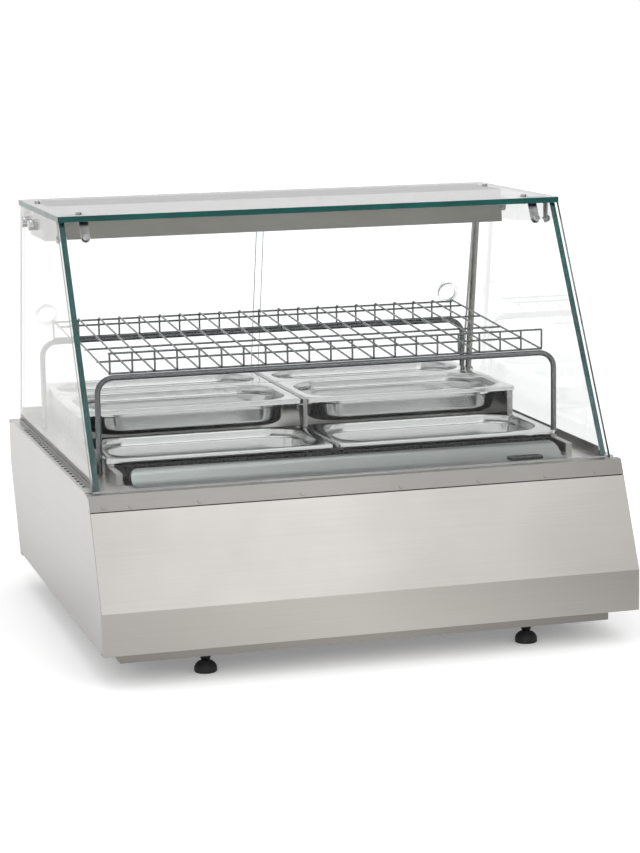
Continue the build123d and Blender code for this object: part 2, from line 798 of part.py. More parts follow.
# Lamp housing: a folded channel with an end cap and a lamp holder at each end
lamp_top = glass_under_top + glass_joint
cap_outline = [(lamp_front_top, lamp_top), (lamp_front_bottom, lamp_bottom),
               (lamp_rear, lamp_bottom), (lamp_rear, lamp_top)]
with BuildPart() as lamp_housing:
    with BuildSketch(Plane.YZ.offset(lamp_cap - lamp_half)):
        add(folded_sheet(
            [(lamp_front_bottom + lamp_return, lamp_bottom), (lamp_front_bottom, lamp_bottom),
             (lamp_front_top, lamp_top), (lamp_rear, lamp_top), (lamp_rear, lamp_bottom),
             (lamp_rear - lamp_return, lamp_bottom)],
            sheet, Side.RIGHT))
        make_face()
    extrude(amount=2 * (lamp_half - lamp_cap))
    for cap_start in (-lamp_half, lamp_half - lamp_cap):
        with BuildSketch(Plane.YZ.offset(cap_start)):
            with BuildLine():
                Polyline(*side_points(cap_outline), close=True)
            make_face()
        extrude(amount=lamp_cap)
    for holder_start in (lamp_cap - lamp_half, lamp_half - lamp_cap - holder_length):
        with BuildSketch(Plane.YZ.offset(holder_start)):
            with Locations((behind(tube_y), (tube_z + tube_diameter / 2 + lamp_top) / 2)):
                Rectangle(20, lamp_top - tube_z - tube_diameter / 2)
            with Locations((behind(tube_y), tube_z)):
                Circle(tube_diameter / 2 + 3)
        extrude(amount=holder_length)
    with BuildSketch(Plane.XY.offset(lamp_top)):
        with Locations(*[(sign * rear_bolt[0], behind(rear_bolt[1])) for sign in (-1, 1)]):
            Circle(bolt_shank / 2 + thread_clearance)
    extrude(amount=-12, mode=Mode.SUBTRACT)
save(lamp_housing.part, "lamp_housing")

# Lamp tube with its two end fittings
tube_half = lamp_half - lamp_cap - holder_length - seat_gap
with BuildPart() as lamp_tube:
    with BuildSketch(Plane.YZ.offset(-tube_half)):
        with Locations((behind(tube_y), tube_z)):
            Circle(tube_diameter / 2)
    extrude(amount=2 * tube_half)
    for fitting_start in (-tube_half, tube_half - 18):
        with BuildSketch(Plane.YZ.offset(fitting_start)):
            with Locations((behind(tube_y), tube_z)):
                Circle(tube_diameter / 2 + 0.6)
        extrude(amount=18)
save(lamp_tube.part, "lamp_tube")

# Lamp conduit: a leaning tube that rises from a sleeve and collar on the deck
conduit_plane = Plane(origin=(conduit_x, behind(conduit_foot_y), deck_top), z_dir=(0, -conduit_lean, 1))
with BuildPart() as lamp_conduit:
    with BuildSketch(conduit_plane.offset(-20)):
        Circle(conduit_diameter / 2)
    extrude(amount=lamp_bottom - deck_top + 60)
    with BuildSketch(conduit_plane.offset(-20)):
        Circle(sleeve_diameter / 2)
    extrude(amount=collar_height + 20)
    with BuildSketch(conduit_plane.offset(collar_height)):
        Circle(collar_diameter / 2)
    extrude(amount=collar_length, taper=20)
    with BuildSketch(Plane.XY.offset(deck_top)):
        with Locations((conduit_x, behind(conduit_foot_y - 30))):
            Rectangle(8 * conduit_diameter, 20 * conduit_diameter)
    extrude(amount=lamp_bottom - deck_top, mode=Mode.INTERSECT)
save(lamp_conduit.part, "lamp_conduit")


def bolt_holes(places):
    """Cut the fixing holes through a horizontal pane at the given plan places."""
    with Locations(*[(sign * x, behind(y)) for sign in (-1, 1) for x, y in places]):
        Circle(bolt_hole / 2, mode=Mode.SUBTRACT)


# Top glass
with BuildPart() as glass_top:
    with BuildSketch(Plane.XY.offset(hood_top)):
        with Locations((0, behind((top_glass_front + top_glass_rear) / 2))):
            Rectangle(2 * top_glass_half, top_glass_rear - top_glass_front)
        bolt_holes((front_bolt, rear_bolt))
    extrude(amount=-glass)
    chamfer(glass_top.edges().filter_by(Axis.X).group_by(Axis.Y)[0], length=0.6)
save(glass_top.part, "glass_top")

# Front glass: its foot stands in the front channel, its head under the top glass
front_glass_bottom = deck_top - front_channel_depth + channel_wall + pane_bottom_gap
with BuildPart() as glass_front:
    with BuildSketch(Plane.YZ.offset(-front_glass_half)):
        with BuildLine():
            Polyline(*side_points([
                (front_glass_line(front_glass_bottom), front_glass_bottom),
                (front_glass_line(glass_under_top), glass_under_top),
                (front_glass_line(glass_under_top) + front_glass_back, glass_under_top),
                (front_glass_line(front_glass_bottom) + front_glass_back, front_glass_bottom)]), close=True)
        make_face()
    extrude(amount=2 * front_glass_half)
    with BuildSketch(nut_plane):
        with Locations((-front_bolt[0], 0), (front_bolt[0], 0)):
            Circle(bolt_hole / 2)
    extrude(amount=-2 * glass, mode=Mode.SUBTRACT)
save(glass_front.part, "glass_front")


def make_side_glass(sign):
    """Side pane between the front glass and the door tracks."""
    pane_bottom = deck_top + channel_wall + pane_bottom_gap
    with BuildPart() as pane:
        with BuildSketch(Plane.YZ.offset(sign * side_glass_outer)):
            with BuildLine():
                Polyline(*side_points([
                    (front_glass_line(pane_bottom) + front_glass_back + glass_joint, pane_bottom),
                    (front_glass_line(glass_under_top) + front_glass_back + glass_joint, glass_under_top),
                    (door_line(glass_under_top), glass_under_top),
                    (door_line(pane_bottom), pane_bottom)]), close=True)
            make_face()
            with Locations((behind(bracket_side_y), side_bolt_z), *[(behind(y), cap_z) for y in cap_places]):
                Circle(bolt_hole / 2, mode=Mode.SUBTRACT)
        extrude(amount=-sign * glass)
    return pane.part


for side_name, side_sign in (("left", -1), ("right", 1)):
    save(make_side_glass(side_sign), f"glass_{side_name}")

# Glass channels: a U along each side and one along the front
channel_length = channel_rear - channel_front
with BuildPart() as glass_channels:
    for sign in (-1, 1):
        wall_in = sign * (side_glass_inner - channel_wall / 2)
        wall_out = sign * (side_glass_outer + channel_wall / 2)
        with BuildSketch(Plane.XZ.offset(-behind(channel_front))):
            with Locations((wall_in, deck_top + channel_inner_height / 2)):
                Rectangle(channel_wall, channel_inner_height)
            with Locations((wall_out, deck_top + channel_outer_height / 2)):
                Rectangle(channel_wall, channel_outer_height)
            with Locations(((wall_in + wall_out) / 2, deck_top + channel_wall / 2)):
                Rectangle(glass + channel_wall, channel_wall)
        extrude(amount=-channel_length)
    front_outer = front_glass_line(deck_top)
    front_low = deck_top - front_channel_depth
    with BuildSketch(Plane.YZ.offset(-front_glass_half)):
        with BuildLine():
            Polyline(*side_points([
                (front_outer - channel_wall, deck_top),
                (front_glass_line(front_low) - channel_wall, front_low),
                (front_glass_line(front_low) + front_glass_back + channel_wall, front_low),
                (front_outer + front_glass_back + channel_wall, deck_top),
                (front_outer + front_glass_back, deck_top),
                (front_glass_line(front_low + channel_wall) + front_glass_back, front_low + channel_wall),
                (front_glass_line(front_low + channel_wall), front_low + channel_wall),
                (front_outer, deck_top)]), close=True)
        make_face()
    extrude(amount=2 * front_glass_half)
save(glass_channels.part, "glass_channels")

# Corner brackets: a tab under the top glass with a leg down the front glass and one down the side glass
tab_top = hood_top - glass
tab_front = front_glass_line(tab_top) + front_glass_back + bracket_sheet / tilt_cos
with BuildPart() as corner_brackets:
    for sign in (-1, 1):
        leg_x = sign * front_bolt[0]
        with BuildSketch(Plane.XY.offset(tab_top)):
            with Locations((leg_x, behind((tab_front + front_bolt[1] + 9) / 2))):
                Rectangle(bracket_width, front_bolt[1] + 9 - tab_front)
            tab_reach = side_glass_inner - front_bolt[0]
            with Locations((sign * (front_bolt[0] + tab_reach / 2), behind(bracket_side_y))):
                Rectangle(tab_reach, bracket_width)
            with Locations((leg_x, behind(front_bolt[1]))):
                Circle(bolt_hole / 2, mode=Mode.SUBTRACT)
        extrude(amount=-bracket_sheet)
        front_leg = Plane(
            origin=(leg_x, behind(front_glass_line(bracket_drop) + front_glass_back), bracket_drop),
            x_dir=(1, 0, 0), z_dir=(0, -tilt_cos, tilt_sin))
        leg_length = (tab_top - bracket_drop) / tilt_cos
        with BuildSketch(front_leg):
            with Locations((0, leg_length / 2 + bracket_width / 4)):
                Rectangle(bracket_width, leg_length - bracket_width / 2)
            with Locations((0, bracket_width / 2)):
                Circle(bracket_width / 2)
            with Locations((0, (nut_z - glass * tilt_sin - bracket_drop) / tilt_cos)):
                Circle(bolt_hole / 2, mode=Mode.SUBTRACT)
        extrude(amount=-bracket_sheet)
        with BuildSketch(Plane.YZ.offset(sign * side_glass_inner)):
            with Locations((behind(bracket_side_y), (tab_top + side_bolt_z) / 2)):
                Rectangle(bracket_width, tab_top - side_bolt_z)
            with Locations((behind(bracket_side_y), side_bolt_z)):
                Circle(bracket_width / 2)
                Circle(bolt_hole / 2, mode=Mode.SUBTRACT)
        extrude(amount=-sign * bracket_sheet)
save(corner_brackets.part, "corner_brackets")


def add_bolt(plane, shank_length):
    """Button head standing on a plane, with its shank below it."""
    with BuildSketch(plane) as head:
        Circle(bolt_head / 2)
    extrude(head.sketch, amount=bolt_head_height, taper=25)
    with BuildSketch(plane) as shank:
        Circle(bolt_shank / 2)
    extrude(shank.sketch, amount=-shank_length)


# Glass fixings: top bolts, front acorn nuts, side bolts and the four side caps
with BuildPart() as glass_fixings:
    for sign in (-1, 1):
        for (bolt_x, bolt_y), reach in ((front_bolt, glass + bracket_sheet + 3), (rear_bolt, glass + 10)):
            add_bolt(Plane(origin=(sign * bolt_x, behind(bolt_y), hood_top)), reach)
        add_bolt(nut_plane * Pos(sign * front_bolt[0], 0), glass + bracket_sheet + 3)
        side_plane = Plane(
            origin=(sign * side_glass_outer, behind(bracket_side_y), side_bolt_z), z_dir=(sign, 0, 0))
        add_bolt(side_plane, glass + bracket_sheet + 3)
        for cap_y in cap_places:
            cap_plane = Plane(origin=(sign * side_glass_outer, behind(cap_y), cap_z), z_dir=(sign, 0, 0))
            with BuildSketch(cap_plane):
                Circle(cap_diameter / 2)
            extrude(amount=cap_height)
            with BuildSketch(cap_plane):
                Circle(bolt_shank / 2)
            extrude(amount=seat_gap + lamp_half - side_glass_outer)
save(glass_fixings.part, "glass_fixings")


# Door tracks: two grooves, below in the sill and above in the head
track_depth = 3 * track_wall + 2 * track_groove


def make_track(block, groove_start, groove_length):
    """Track cut from a side-view block, with a groove for each door."""
    with BuildPart() as track:
        with BuildSketch(Plane.YZ.offset(track_end_gap - side_glass_inner)):
            with BuildLine():
                Polyline(*side_points(block), close=True)
            make_face()
        extrude(amount=2 * (side_glass_inner - track_end_gap))
        for start in (track_wall, 2 * track_wall + track_groove):
            with BuildSketch(door_plane.offset(start)):
                with Locations((0, groove_start + groove_length / 2)):
                    Rectangle(2 * side_glass_inner, groove_length)
            extrude(amount=track_groove, mode=Mode.SUBTRACT)
    return track.part


def slope_point(up, inward):
    """Point in side view: up the door plane, and inward from its rear face."""
    return (rear_glass_foot - up * lean_sin - inward * lean_cos, deck_top + up * lean_cos - inward * lean_sin)


sill_block = [(rear_glass_foot, deck_top), slope_point(sill_height, 0), slope_point(sill_height, track_depth),
              (rear_glass_foot - track_depth / lean_cos, deck_top)]
head_up = (glass_under_top - deck_top) / lean_cos
head_block = [(door_line(glass_under_top), glass_under_top), slope_point(head_up - head_height, 0),
              slope_point(head_up - head_height, track_depth),
              (door_line(glass_under_top) - track_depth / lean_cos, glass_under_top)]
save(make_track(sill_block, sill_height - sill_groove, sill_groove + 10), "lower_track")
save(make_track(head_block, head_up - head_height - 10, head_groove + 10), "upper_track")

door_foot = sill_height - sill_groove + rest_gap
door_head = head_up - head_height + head_groove - door_lift_play
door_reach = side_glass_inner - door_side_gap
groove_play = (track_groove - door_glass) / 2
door_layers = {"left": 2 * track_wall + track_groove + groove_play, "right": track_wall + groove_play}
door_edges = {"left": (-door_reach, door_overlap_right), "right": (door_overlap_left, door_reach)}
pull_places = {"left": -door_reach + pull_inset, "right": door_reach - pull_inset}


def make_door(side_name):
    """Sliding pane with a round hole for its finger pull."""
    low, high = door_edges[side_name]
    with BuildPart() as door:
        with BuildSketch(door_plane.offset(door_layers[side_name])):
            with Locations(((low + high) / 2, (door_foot + door_head) / 2)):
                Rectangle(high - low, door_head - door_foot)
            with Locations((pull_places[side_name], pull_height)):
                Circle(pull_hole / 2, mode=Mode.SUBTRACT)
        extrude(amount=door_glass)
    return door.part


def make_pull(side_name):
    """Finger pull: a flanged cup that fits the door's hole, open to the back."""
    layer = door_layers[side_name]
    with BuildPart() as pull:
        for start, thickness, diameter in (
                (layer - pull_rim, pull_rim, pull_flange),
                (layer, door_glass, pull_hole - seat_gap),
                (layer + door_glass, pull_rim, pull_flange)):
            with BuildSketch(door_plane.offset(start)):
                with Locations((pull_places[side_name], pull_height)):
                    Circle(diameter / 2)
            extrude(amount=thickness)
        with BuildSketch(door_plane.offset(layer - pull_rim)):
            with Locations((pull_places[side_name], pull_height)):
                Circle(pull_hole / 2 - 2)
        extrude(amount=door_glass + pull_rim, mode=Mode.SUBTRACT)
    return pull.part


for side_name in ("left", "right"):
    save(make_door(side_name), f"door_{side_name}")
    save(make_pull(side_name), f"door_pull_{side_name}")

# Duct cover: folded cold-air cover with rounded shoulders and a slotted back
duct_run = duct_rear - duct_crease
duct_rise = duct_top - deck_top - sheet
slope_shift = sheet * (duct_run ** 2 + duct_rise ** 2) ** 0.5 / duct_rise
with BuildPart() as duct_cover:
    with BuildSketch(Plane.YZ.offset(-duct_half)):
        with BuildLine():
            Polyline(*side_points([
                (duct_front, deck_top), (duct_front, deck_top + sheet), (duct_crease, deck_top + sheet),
                (duct_rear, duct_top), (duct_rear, deck_top)]), close=True)
        make_face()
        with BuildLine():
            Polyline(*side_points([
                (duct_crease + slope_shift - sheet * duct_run / duct_rise, deck_top),
                (duct_rear - sheet, duct_top - (sheet + slope_shift) * duct_rise / duct_run),
                (duct_rear - sheet, deck_top)]), close=True)
        make_face(mode=Mode.SUBTRACT)
    extrude(amount=2 * duct_half)
    with BuildSketch(Plane.XZ.offset(-behind(duct_front))):
        with Locations((0, duct_top - 40)):
            RectangleRounded(2 * duct_half, 80, duct_corner)
    extrude(amount=-(duct_rear - duct_front), mode=Mode.INTERSECT)
    with BuildSketch(Plane.XZ.offset(-behind(duct_rear))):
        with Locations((0, (deck_top + duct_top) / 2)):
            with GridLocations(duct_slot_pitch, 1, duct_slots, 1):
                Rectangle(duct_slot_width, duct_slot_height)
    extrude(amount=2 * sheet, both=True, mode=Mode.SUBTRACT)
save(duct_cover.part, "duct_cover")

# Thermometer: a small framed display on the duct cover's flat
display_y = behind((duct_front + duct_crease) / 2)
with BuildPart() as thermometer:
    with BuildSketch(Plane.XY.offset(deck_top + sheet)):
        with Locations((display_x, display_y)):
            RectangleRounded(display_length, display_width, 2)
    extrude(amount=display_height)
    with BuildSketch(Plane.XY.offset(deck_top + sheet + display_height)):
        with Locations((display_x, display_y)):
            Rectangle(display_length - 12, display_width - 8)
    extrude(amount=-0.8, mode=Mode.SUBTRACT)
save(thermometer.part, "thermometer")

# Pan rails: a stepped rail on each side and a T-shaped rail in the middle
front_skirt = front_pan_rim - pan_skirt - rest_gap
raised_skirt = raised_pan_rim - pan_skirt - rest_gap
step_y = middle_pan_y - 2
with BuildPart() as pan_rails:
    for start in (-rail_inner - rail_width, rail_inner):
        with BuildSketch(Plane.YZ.offset(start)):
            with BuildLine():
                Polyline(*side_points([
                    (rail_front, deck_top), (rail_front, deck_top + rail_step),
                    (front_pan_y - 3, deck_top + rail_step), (front_pan_y - 3, front_skirt),
                    (front_pan_y + pan_width + 1, front_skirt), (front_pan_y + pan_width + 1, raised_skirt),
                    (rail_rear, raised_skirt),
                    (rail_rear, deck_top)]), close=True)
            make_face()
        extrude(amount=rail_width)
    with BuildSketch(Plane.YZ.offset(-centre_web / 2)):
        with BuildLine():
            Polyline(*side_points([
                (front_pan_y, front_pan_rim), (front_pan_y, front_skirt - flange_sheet),
                (step_y + 14, front_skirt - flange_sheet), (step_y + 30, raised_skirt - 2 * flange_sheet),
                (rail_rear - 30, raised_skirt - 2 * flange_sheet), (rail_rear - 30, deck_top),
                (rail_rear, deck_top), (rail_rear, raised_pan_rim), (step_y, raised_pan_rim),
                (step_y, front_pan_rim)]), close=True)
        make_face()
    extrude(amount=centre_web)
    for seat, start, end in ((front_skirt, front_pan_y, step_y + 14), (raised_skirt, step_y, rail_rear)):
        with BuildSketch(Plane.XY.offset(seat)):
            with Locations((0, behind((start + end) / 2))):
                Rectangle(centre_flange, end - start)
        extrude(amount=-flange_sheet)
save(pan_rails.part, "pan_rails")


def make_pan(sign, start, width, rim):
    """Pressed pan: flat rim with a skirt, a straight stacking band, a step and a tapered bowl."""
    centre = (sign * (pan_gap + pan_length) / 2, behind(start + width / 2))
    bowl_length = pan_length - 2 * pan_wall_inset
    bowl_width = width - 2 * pan_wall_inset

    def level(drop):
        return Plane(origin=(*centre, rim - drop))

    with BuildPart() as body:
        with BuildSketch(level(0)):
            RectangleRounded(pan_length, width, pan_rim_radius)
        extrude(amount=-pan_skirt)
        with BuildSketch(level(thin_sheet)):
            RectangleRounded(pan_length - 2 * thin_sheet, width - 2 * thin_sheet, pan_rim_radius - thin_sheet)
        extrude(amount=-pan_skirt, mode=Mode.SUBTRACT)
        for wall, mode in ((0, Mode.ADD), (thin_sheet, Mode.SUBTRACT)):
            band_radius = pan_bowl_radius - wall
            bowl_inset = pan_step_inset + wall
            with BuildSketch(level(0)):
                RectangleRounded(bowl_length - 2 * wall, bowl_width - 2 * wall, band_radius)
            extrude(amount=-pan_step, mode=mode)
            with BuildSketch(level(pan_step - wall)):
                RectangleRounded(bowl_length - 2 * bowl_inset, bowl_width - 2 * bowl_inset,
                                 band_radius - pan_step_inset)
            extrude(amount=-(pan_depth - pan_step), taper=pan_taper, mode=mode)
    return body.part


pan_rows = (("front", front_pan_y, pan_width, front_pan_rim),
            ("middle", middle_pan_y, pan_width, raised_pan_rim),
            ("rear", rear_pan_y, rear_pan_width, raised_pan_rim))
for row_name, row_start, row_width, row_rim in pan_rows:
    for side_name, side_sign in (("left", -1), ("right", 1)):
        save(make_pan(side_sign, row_start, row_width, row_rim), f"pan_{row_name}_{side_name}")

# Shelf frames: two bent tubes that stand on the deck
with BuildPart() as shelf_frames:
    for frame_y in (shelf_front, shelf_rear):
        foot_z = deck_top + rest_gap
        with BuildLine() as bow:
            FilletPolyline((-shelf_leg_x, behind(frame_y), foot_z), (-shelf_leg_x, behind(frame_y), shelf_bar),
                           (shelf_leg_x, behind(frame_y), shelf_bar), (shelf_leg_x, behind(frame_y), foot_z),
                           radius=shelf_bend)
        with BuildSketch(Plane(origin=(-shelf_leg_x, behind(frame_y), foot_z))):
            Circle(shelf_tube / 2)
        sweep(path=bow.line)
        with BuildSketch(Plane.XY.offset(foot_z)):
            with Locations((-shelf_leg_x, behind(frame_y)), (shelf_leg_x, behind(frame_y))):
                Circle(shelf_foot / 2)
        extrude(amount=shelf_foot_height)
save(shelf_frames.part, "shelf_frames")

# Shelf mesh: the floor leans up to the back between an upright gallery and a hanging one
mesh_foot = shelf_bar + shelf_tube / 2 + wire / 2
mesh_half = wire_pitch * (wire_count - 1) / 2
mesh_run = shelf_rear - shelf_front
mesh_length = (mesh_run ** 2 + gallery ** 2) ** 0.5
hole = wire_pitch - wire


def gallery_plane(distance, centre_z):
    return Plane(origin=(0, behind(distance), centre_z), x_dir=(1, 0, 0), z_dir=(0, -1, 0))


with BuildPart() as shelf_mesh:
    for distance, centre_z in ((shelf_front, mesh_foot + gallery / 2), (shelf_rear, mesh_foot + gallery / 2)):
        with BuildSketch(gallery_plane(distance, centre_z)):
            Rectangle(2 * mesh_half + wire, gallery + wire)
            with GridLocations(wire_pitch, 1, wire_count - 1, 1):
                Rectangle(hole, gallery - wire, mode=Mode.SUBTRACT)
        extrude(amount=wire / 2, both=True)
    floor_plane = Plane(
        origin=(0, behind(shelf_front), mesh_foot), x_dir=(1, 0, 0), z_dir=(0, -gallery, mesh_run))
    with BuildSketch(floor_plane):
        with Locations((0, mesh_length / 2)):
            Rectangle(2 * mesh_half + wire, mesh_length)
        for row in range(cross_rows):
            with Locations((0, cross_pitch * (row + 0.5))):
                with GridLocations(wire_pitch, 1, wire_count - 1, 1):
                    Rectangle(hole, cross_pitch - wire, mode=Mode.SUBTRACT)
        last_gap = mesh_length - cross_pitch * cross_rows
        with Locations((0, mesh_length - last_gap / 2)):
            with GridLocations(wire_pitch, 1, wire_count - 1, 1):
                Rectangle(hole, last_gap - wire, mode=Mode.SUBTRACT)
    extrude(amount=wire / 2, both=True)
save(shelf_mesh.part, "shelf_mesh")
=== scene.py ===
"""Refrigerated display case: finishes, panes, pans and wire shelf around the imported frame."""
import json
from math import cos, pi, radians, sin

import bmesh
import bpy
from mathutils import Matrix, Vector


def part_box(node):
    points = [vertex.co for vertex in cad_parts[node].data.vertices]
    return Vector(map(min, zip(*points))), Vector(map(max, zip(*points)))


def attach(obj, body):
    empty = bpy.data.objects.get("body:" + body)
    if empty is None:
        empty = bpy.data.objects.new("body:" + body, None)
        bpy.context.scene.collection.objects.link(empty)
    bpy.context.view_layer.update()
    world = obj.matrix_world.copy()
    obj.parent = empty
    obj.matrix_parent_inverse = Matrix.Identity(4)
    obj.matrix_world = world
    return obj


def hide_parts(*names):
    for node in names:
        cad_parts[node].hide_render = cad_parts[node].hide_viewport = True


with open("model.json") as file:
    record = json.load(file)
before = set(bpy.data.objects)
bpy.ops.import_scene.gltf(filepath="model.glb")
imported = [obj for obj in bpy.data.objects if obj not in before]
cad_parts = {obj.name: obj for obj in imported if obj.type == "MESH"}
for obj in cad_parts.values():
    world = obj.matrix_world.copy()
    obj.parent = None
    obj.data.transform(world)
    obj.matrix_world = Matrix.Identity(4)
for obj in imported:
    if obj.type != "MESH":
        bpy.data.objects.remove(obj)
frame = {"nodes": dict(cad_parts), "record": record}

bl_info = {
    "name": "Refrigerated Display Case",
    "version": (1, 0, 0),
    "blender": (4, 5, 0),
    "location": "View3D > Sidebar > Display Case",
    "description": "Finishes a countertop refrigerated display case with glass, pans, wire shelf and stage",
    "category": "Object",
}

BODY_OF = {node: body
           for body, nodes in frame["record"]["behaviour"]["bodies"].items()
           for node in nodes}
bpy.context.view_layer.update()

CASING_NODES = ("front_panel", "rear_panel", "deck")
SIDE_NODES = ("side_panel_left", "side_panel_right")
PLAIN_SHEET_NODES = ("plinth", "tub")
RAIL_NODES = ("pan_rails", "glass_channels", "lower_track", "upper_track", "corner_brackets")
PANE_NODES = ("glass_front", "glass_left", "glass_right", "glass_top", "door_left", "door_right")
PAN_NODES = tuple(f"pan_{row}_{side}" for row in ("front", "middle", "rear") for side in ("left", "right"))
FOOT_PLACES = ("front_left", "front_right", "rear_left", "rear_right")
BLACK_NODES = ("rear_controls", "thermostat_knob", "cable_gland", "power_rocker", "lamp_rocker", "fan_frames",
               "evaporator_fan_left", "evaporator_fan_right", "condenser_fan")


class CaseFinish(bpy.types.PropertyGroup):
    """Colours of the case's finishes."""
    stainless: bpy.props.FloatVectorProperty(
        name="Stainless", description="Brushed steel of the casing", subtype="COLOR", size=3,
        default=(0.66, 0.64, 0.61), min=0, max=1)
    # Painted light: the side walls' steel is painted lighter than the casing's front steel, standing in for
    # the brighter light on the sides.
    side_steel_painted_lighter: bpy.props.FloatVectorProperty(
        name="Side steel painted lighter", description="Brushed steel of the side walls", subtype="COLOR", size=3,
        default=(0.73, 0.725, 0.72), min=0, max=1)
    pan_steel: bpy.props.FloatVectorProperty(
        name="Pan steel", description="Satin steel of the food pans", subtype="COLOR", size=3,
        default=(0.55, 0.555, 0.55), min=0, max=1)
    duct_steel: bpy.props.FloatVectorProperty(
        name="Duct steel", description="Steel of the cold-air cover", subtype="COLOR", size=3,
        default=(0.34, 0.36, 0.355), min=0, max=1)
    wire_steel: bpy.props.FloatVectorProperty(
        name="Wire steel", description="Plated wire of the shelf", subtype="COLOR", size=3,
        default=(0.13, 0.135, 0.14), min=0, max=1)
    lamp_grey: bpy.props.FloatVectorProperty(
        name="Lamp housing", description="Grey of the lamp housing", subtype="COLOR", size=3,
        default=(0.24, 0.235, 0.215), min=0, max=1)
    glass_tint: bpy.props.FloatVectorProperty(
        name="Glass tint", description="Tint of the clear panes", subtype="COLOR", size=3,
        default=(0.992, 0.999, 0.997), min=0, max=1)
    glass_edge: bpy.props.FloatVectorProperty(
        name="Glass edge", description="Green of the panes' ground edges", subtype="COLOR", size=3,
        default=(0.002, 0.072, 0.064), min=0, max=1)


class CaseSizes(bpy.types.PropertyGroup):
    """Sizes that the finishing pieces use."""
    edge_round: bpy.props.FloatProperty(
        name="Sheet edge", description="Rounding of sheet edges", default=0.0004, min=0, unit="LENGTH")
    fine_round: bpy.props.FloatProperty(
        name="Fine edge", description="Rounding of rails and fittings", default=0.0002, min=0, unit="LENGTH")
    part_round: bpy.props.FloatProperty(
        name="Part edge", description="Rounding of lamp, feet and display", default=0.0003, min=0,
        unit="LENGTH")
    glass_round: bpy.props.FloatProperty(
        name="Glass edge", description="Ground chamfer on the panes", default=0.0006, min=0, unit="LENGTH")
    wire_radius: bpy.props.FloatProperty(
        name="Wire radius", description="Radius of the shelf's wires", default=0.0015, min=0.0005,
        unit="LENGTH")
    tube_radius: bpy.props.FloatProperty(
        name="Tube radius", description="Radius of the shelf's bent tubes", default=0.004, min=0.001,
        unit="LENGTH")
    wire_count: bpy.props.IntProperty(
        name="Wires", description="Wires from front to back", default=21, min=3)
    cross_pitch: bpy.props.FloatProperty(
        name="Cross pitch", description="Distance between the shelf's cross wires", default=0.088, min=0.01,
        unit="LENGTH")
    rim_skirt: bpy.props.FloatProperty(
        name="Pan skirt", description="Height of the pans' turned-down rim", default=0.006, min=0.001,
        unit="LENGTH")


def sizes():
    return bpy.context.scene.case_sizes


def finish():
    return bpy.context.scene.case_finish


# Shader groups

GRAIN_DEPTH = 0.0002
WORN_LIFT, WORN_GAIN = 0.12, 1.3
MIX_FACTOR, MIX_A, MIX_B, MIX_COLOR = 0, 6, 7, 2


def new_group(name, inputs, outputs):
    """Shader node group with named sockets; inputs are (name, type, default)."""
    group = bpy.data.node_groups.new(name, "ShaderNodeTree")
    for socket_name, socket_type, default in inputs:
        socket = group.interface.new_socket(socket_name, in_out="INPUT", socket_type=socket_type)
        socket.default_value = default
    for socket_name, socket_type in outputs:
        group.interface.new_socket(socket_name, in_out="OUTPUT", socket_type=socket_type)
    start = group.nodes.new("NodeGroupInput")
    end = group.nodes.new("NodeGroupOutput")
    return group, start, end


def grain_group():
    """Fine parallel scratches: a mask, and a normal that follows them."""
    if "Brushed Grain" in bpy.data.node_groups:
        return bpy.data.node_groups["Brushed Grain"]
    group, start, end = new_group(
        "Brushed Grain",
        [("Scale", "NodeSocketVector", (6.0, 900.0, 900.0)), ("Strength", "NodeSocketFloat", 0.1)],
        [("Mask", "NodeSocketFloat"), ("Normal", "NodeSocketVector")])
    nodes, links = group.nodes, group.links
    coords = nodes.new("ShaderNodeTexCoord")
    stretch = nodes.new("ShaderNodeVectorMath")
    stretch.operation = "MULTIPLY"
    noise = nodes.new("ShaderNodeTexNoise")
    noise.inputs["Scale"].default_value = 1.0
    noise.inputs["Detail"].default_value = 3.0
    bump = nodes.new("ShaderNodeBump")
    bump.inputs["Distance"].default_value = GRAIN_DEPTH
    links.new(coords.outputs["Object"], stretch.inputs[0])
    links.new(start.outputs["Scale"], stretch.inputs[1])
    links.new(stretch.outputs[0], noise.inputs["Vector"])
    links.new(noise.outputs["Fac"], bump.inputs["Height"])
    links.new(start.outputs["Strength"], bump.inputs["Strength"])
    links.new(noise.outputs["Fac"], end.inputs["Mask"])
    links.new(bump.outputs["Normal"], end.inputs["Normal"])
    return group


def smudge_group():
    """Soft cloudy wiping marks as a value between Low and High."""
    if "Wipe Marks" in bpy.data.node_groups:
        return bpy.data.node_groups["Wipe Marks"]
    group, start, end = new_group(
        "Wipe Marks",
        [("Scale", "NodeSocketFloat", 5.0), ("Low", "NodeSocketFloat", 0.25),
         ("High", "NodeSocketFloat", 0.35)],
        [("Value", "NodeSocketFloat")])
    nodes, links = group.nodes, group.links
    coords = nodes.new("ShaderNodeTexCoord")
    noise = nodes.new("ShaderNodeTexNoise")
    noise.inputs["Detail"].default_value = 4.0
    noise.inputs["Roughness"].default_value = 0.6
    spread = nodes.new("ShaderNodeMapRange")
    spread.inputs["From Min"].default_value = 0.3
    spread.inputs["From Max"].default_value = 0.7
    links.new(coords.outputs["Object"], noise.inputs["Vector"])
    links.new(start.outputs["Scale"], noise.inputs["Scale"])
    links.new(noise.outputs["Fac"], spread.inputs["Value"])
    links.new(start.outputs["Low"], spread.inputs["To Min"])
    links.new(start.outputs["High"], spread.inputs["To Max"])
    links.new(spread.outputs["Result"], end.inputs["Value"])
    return group


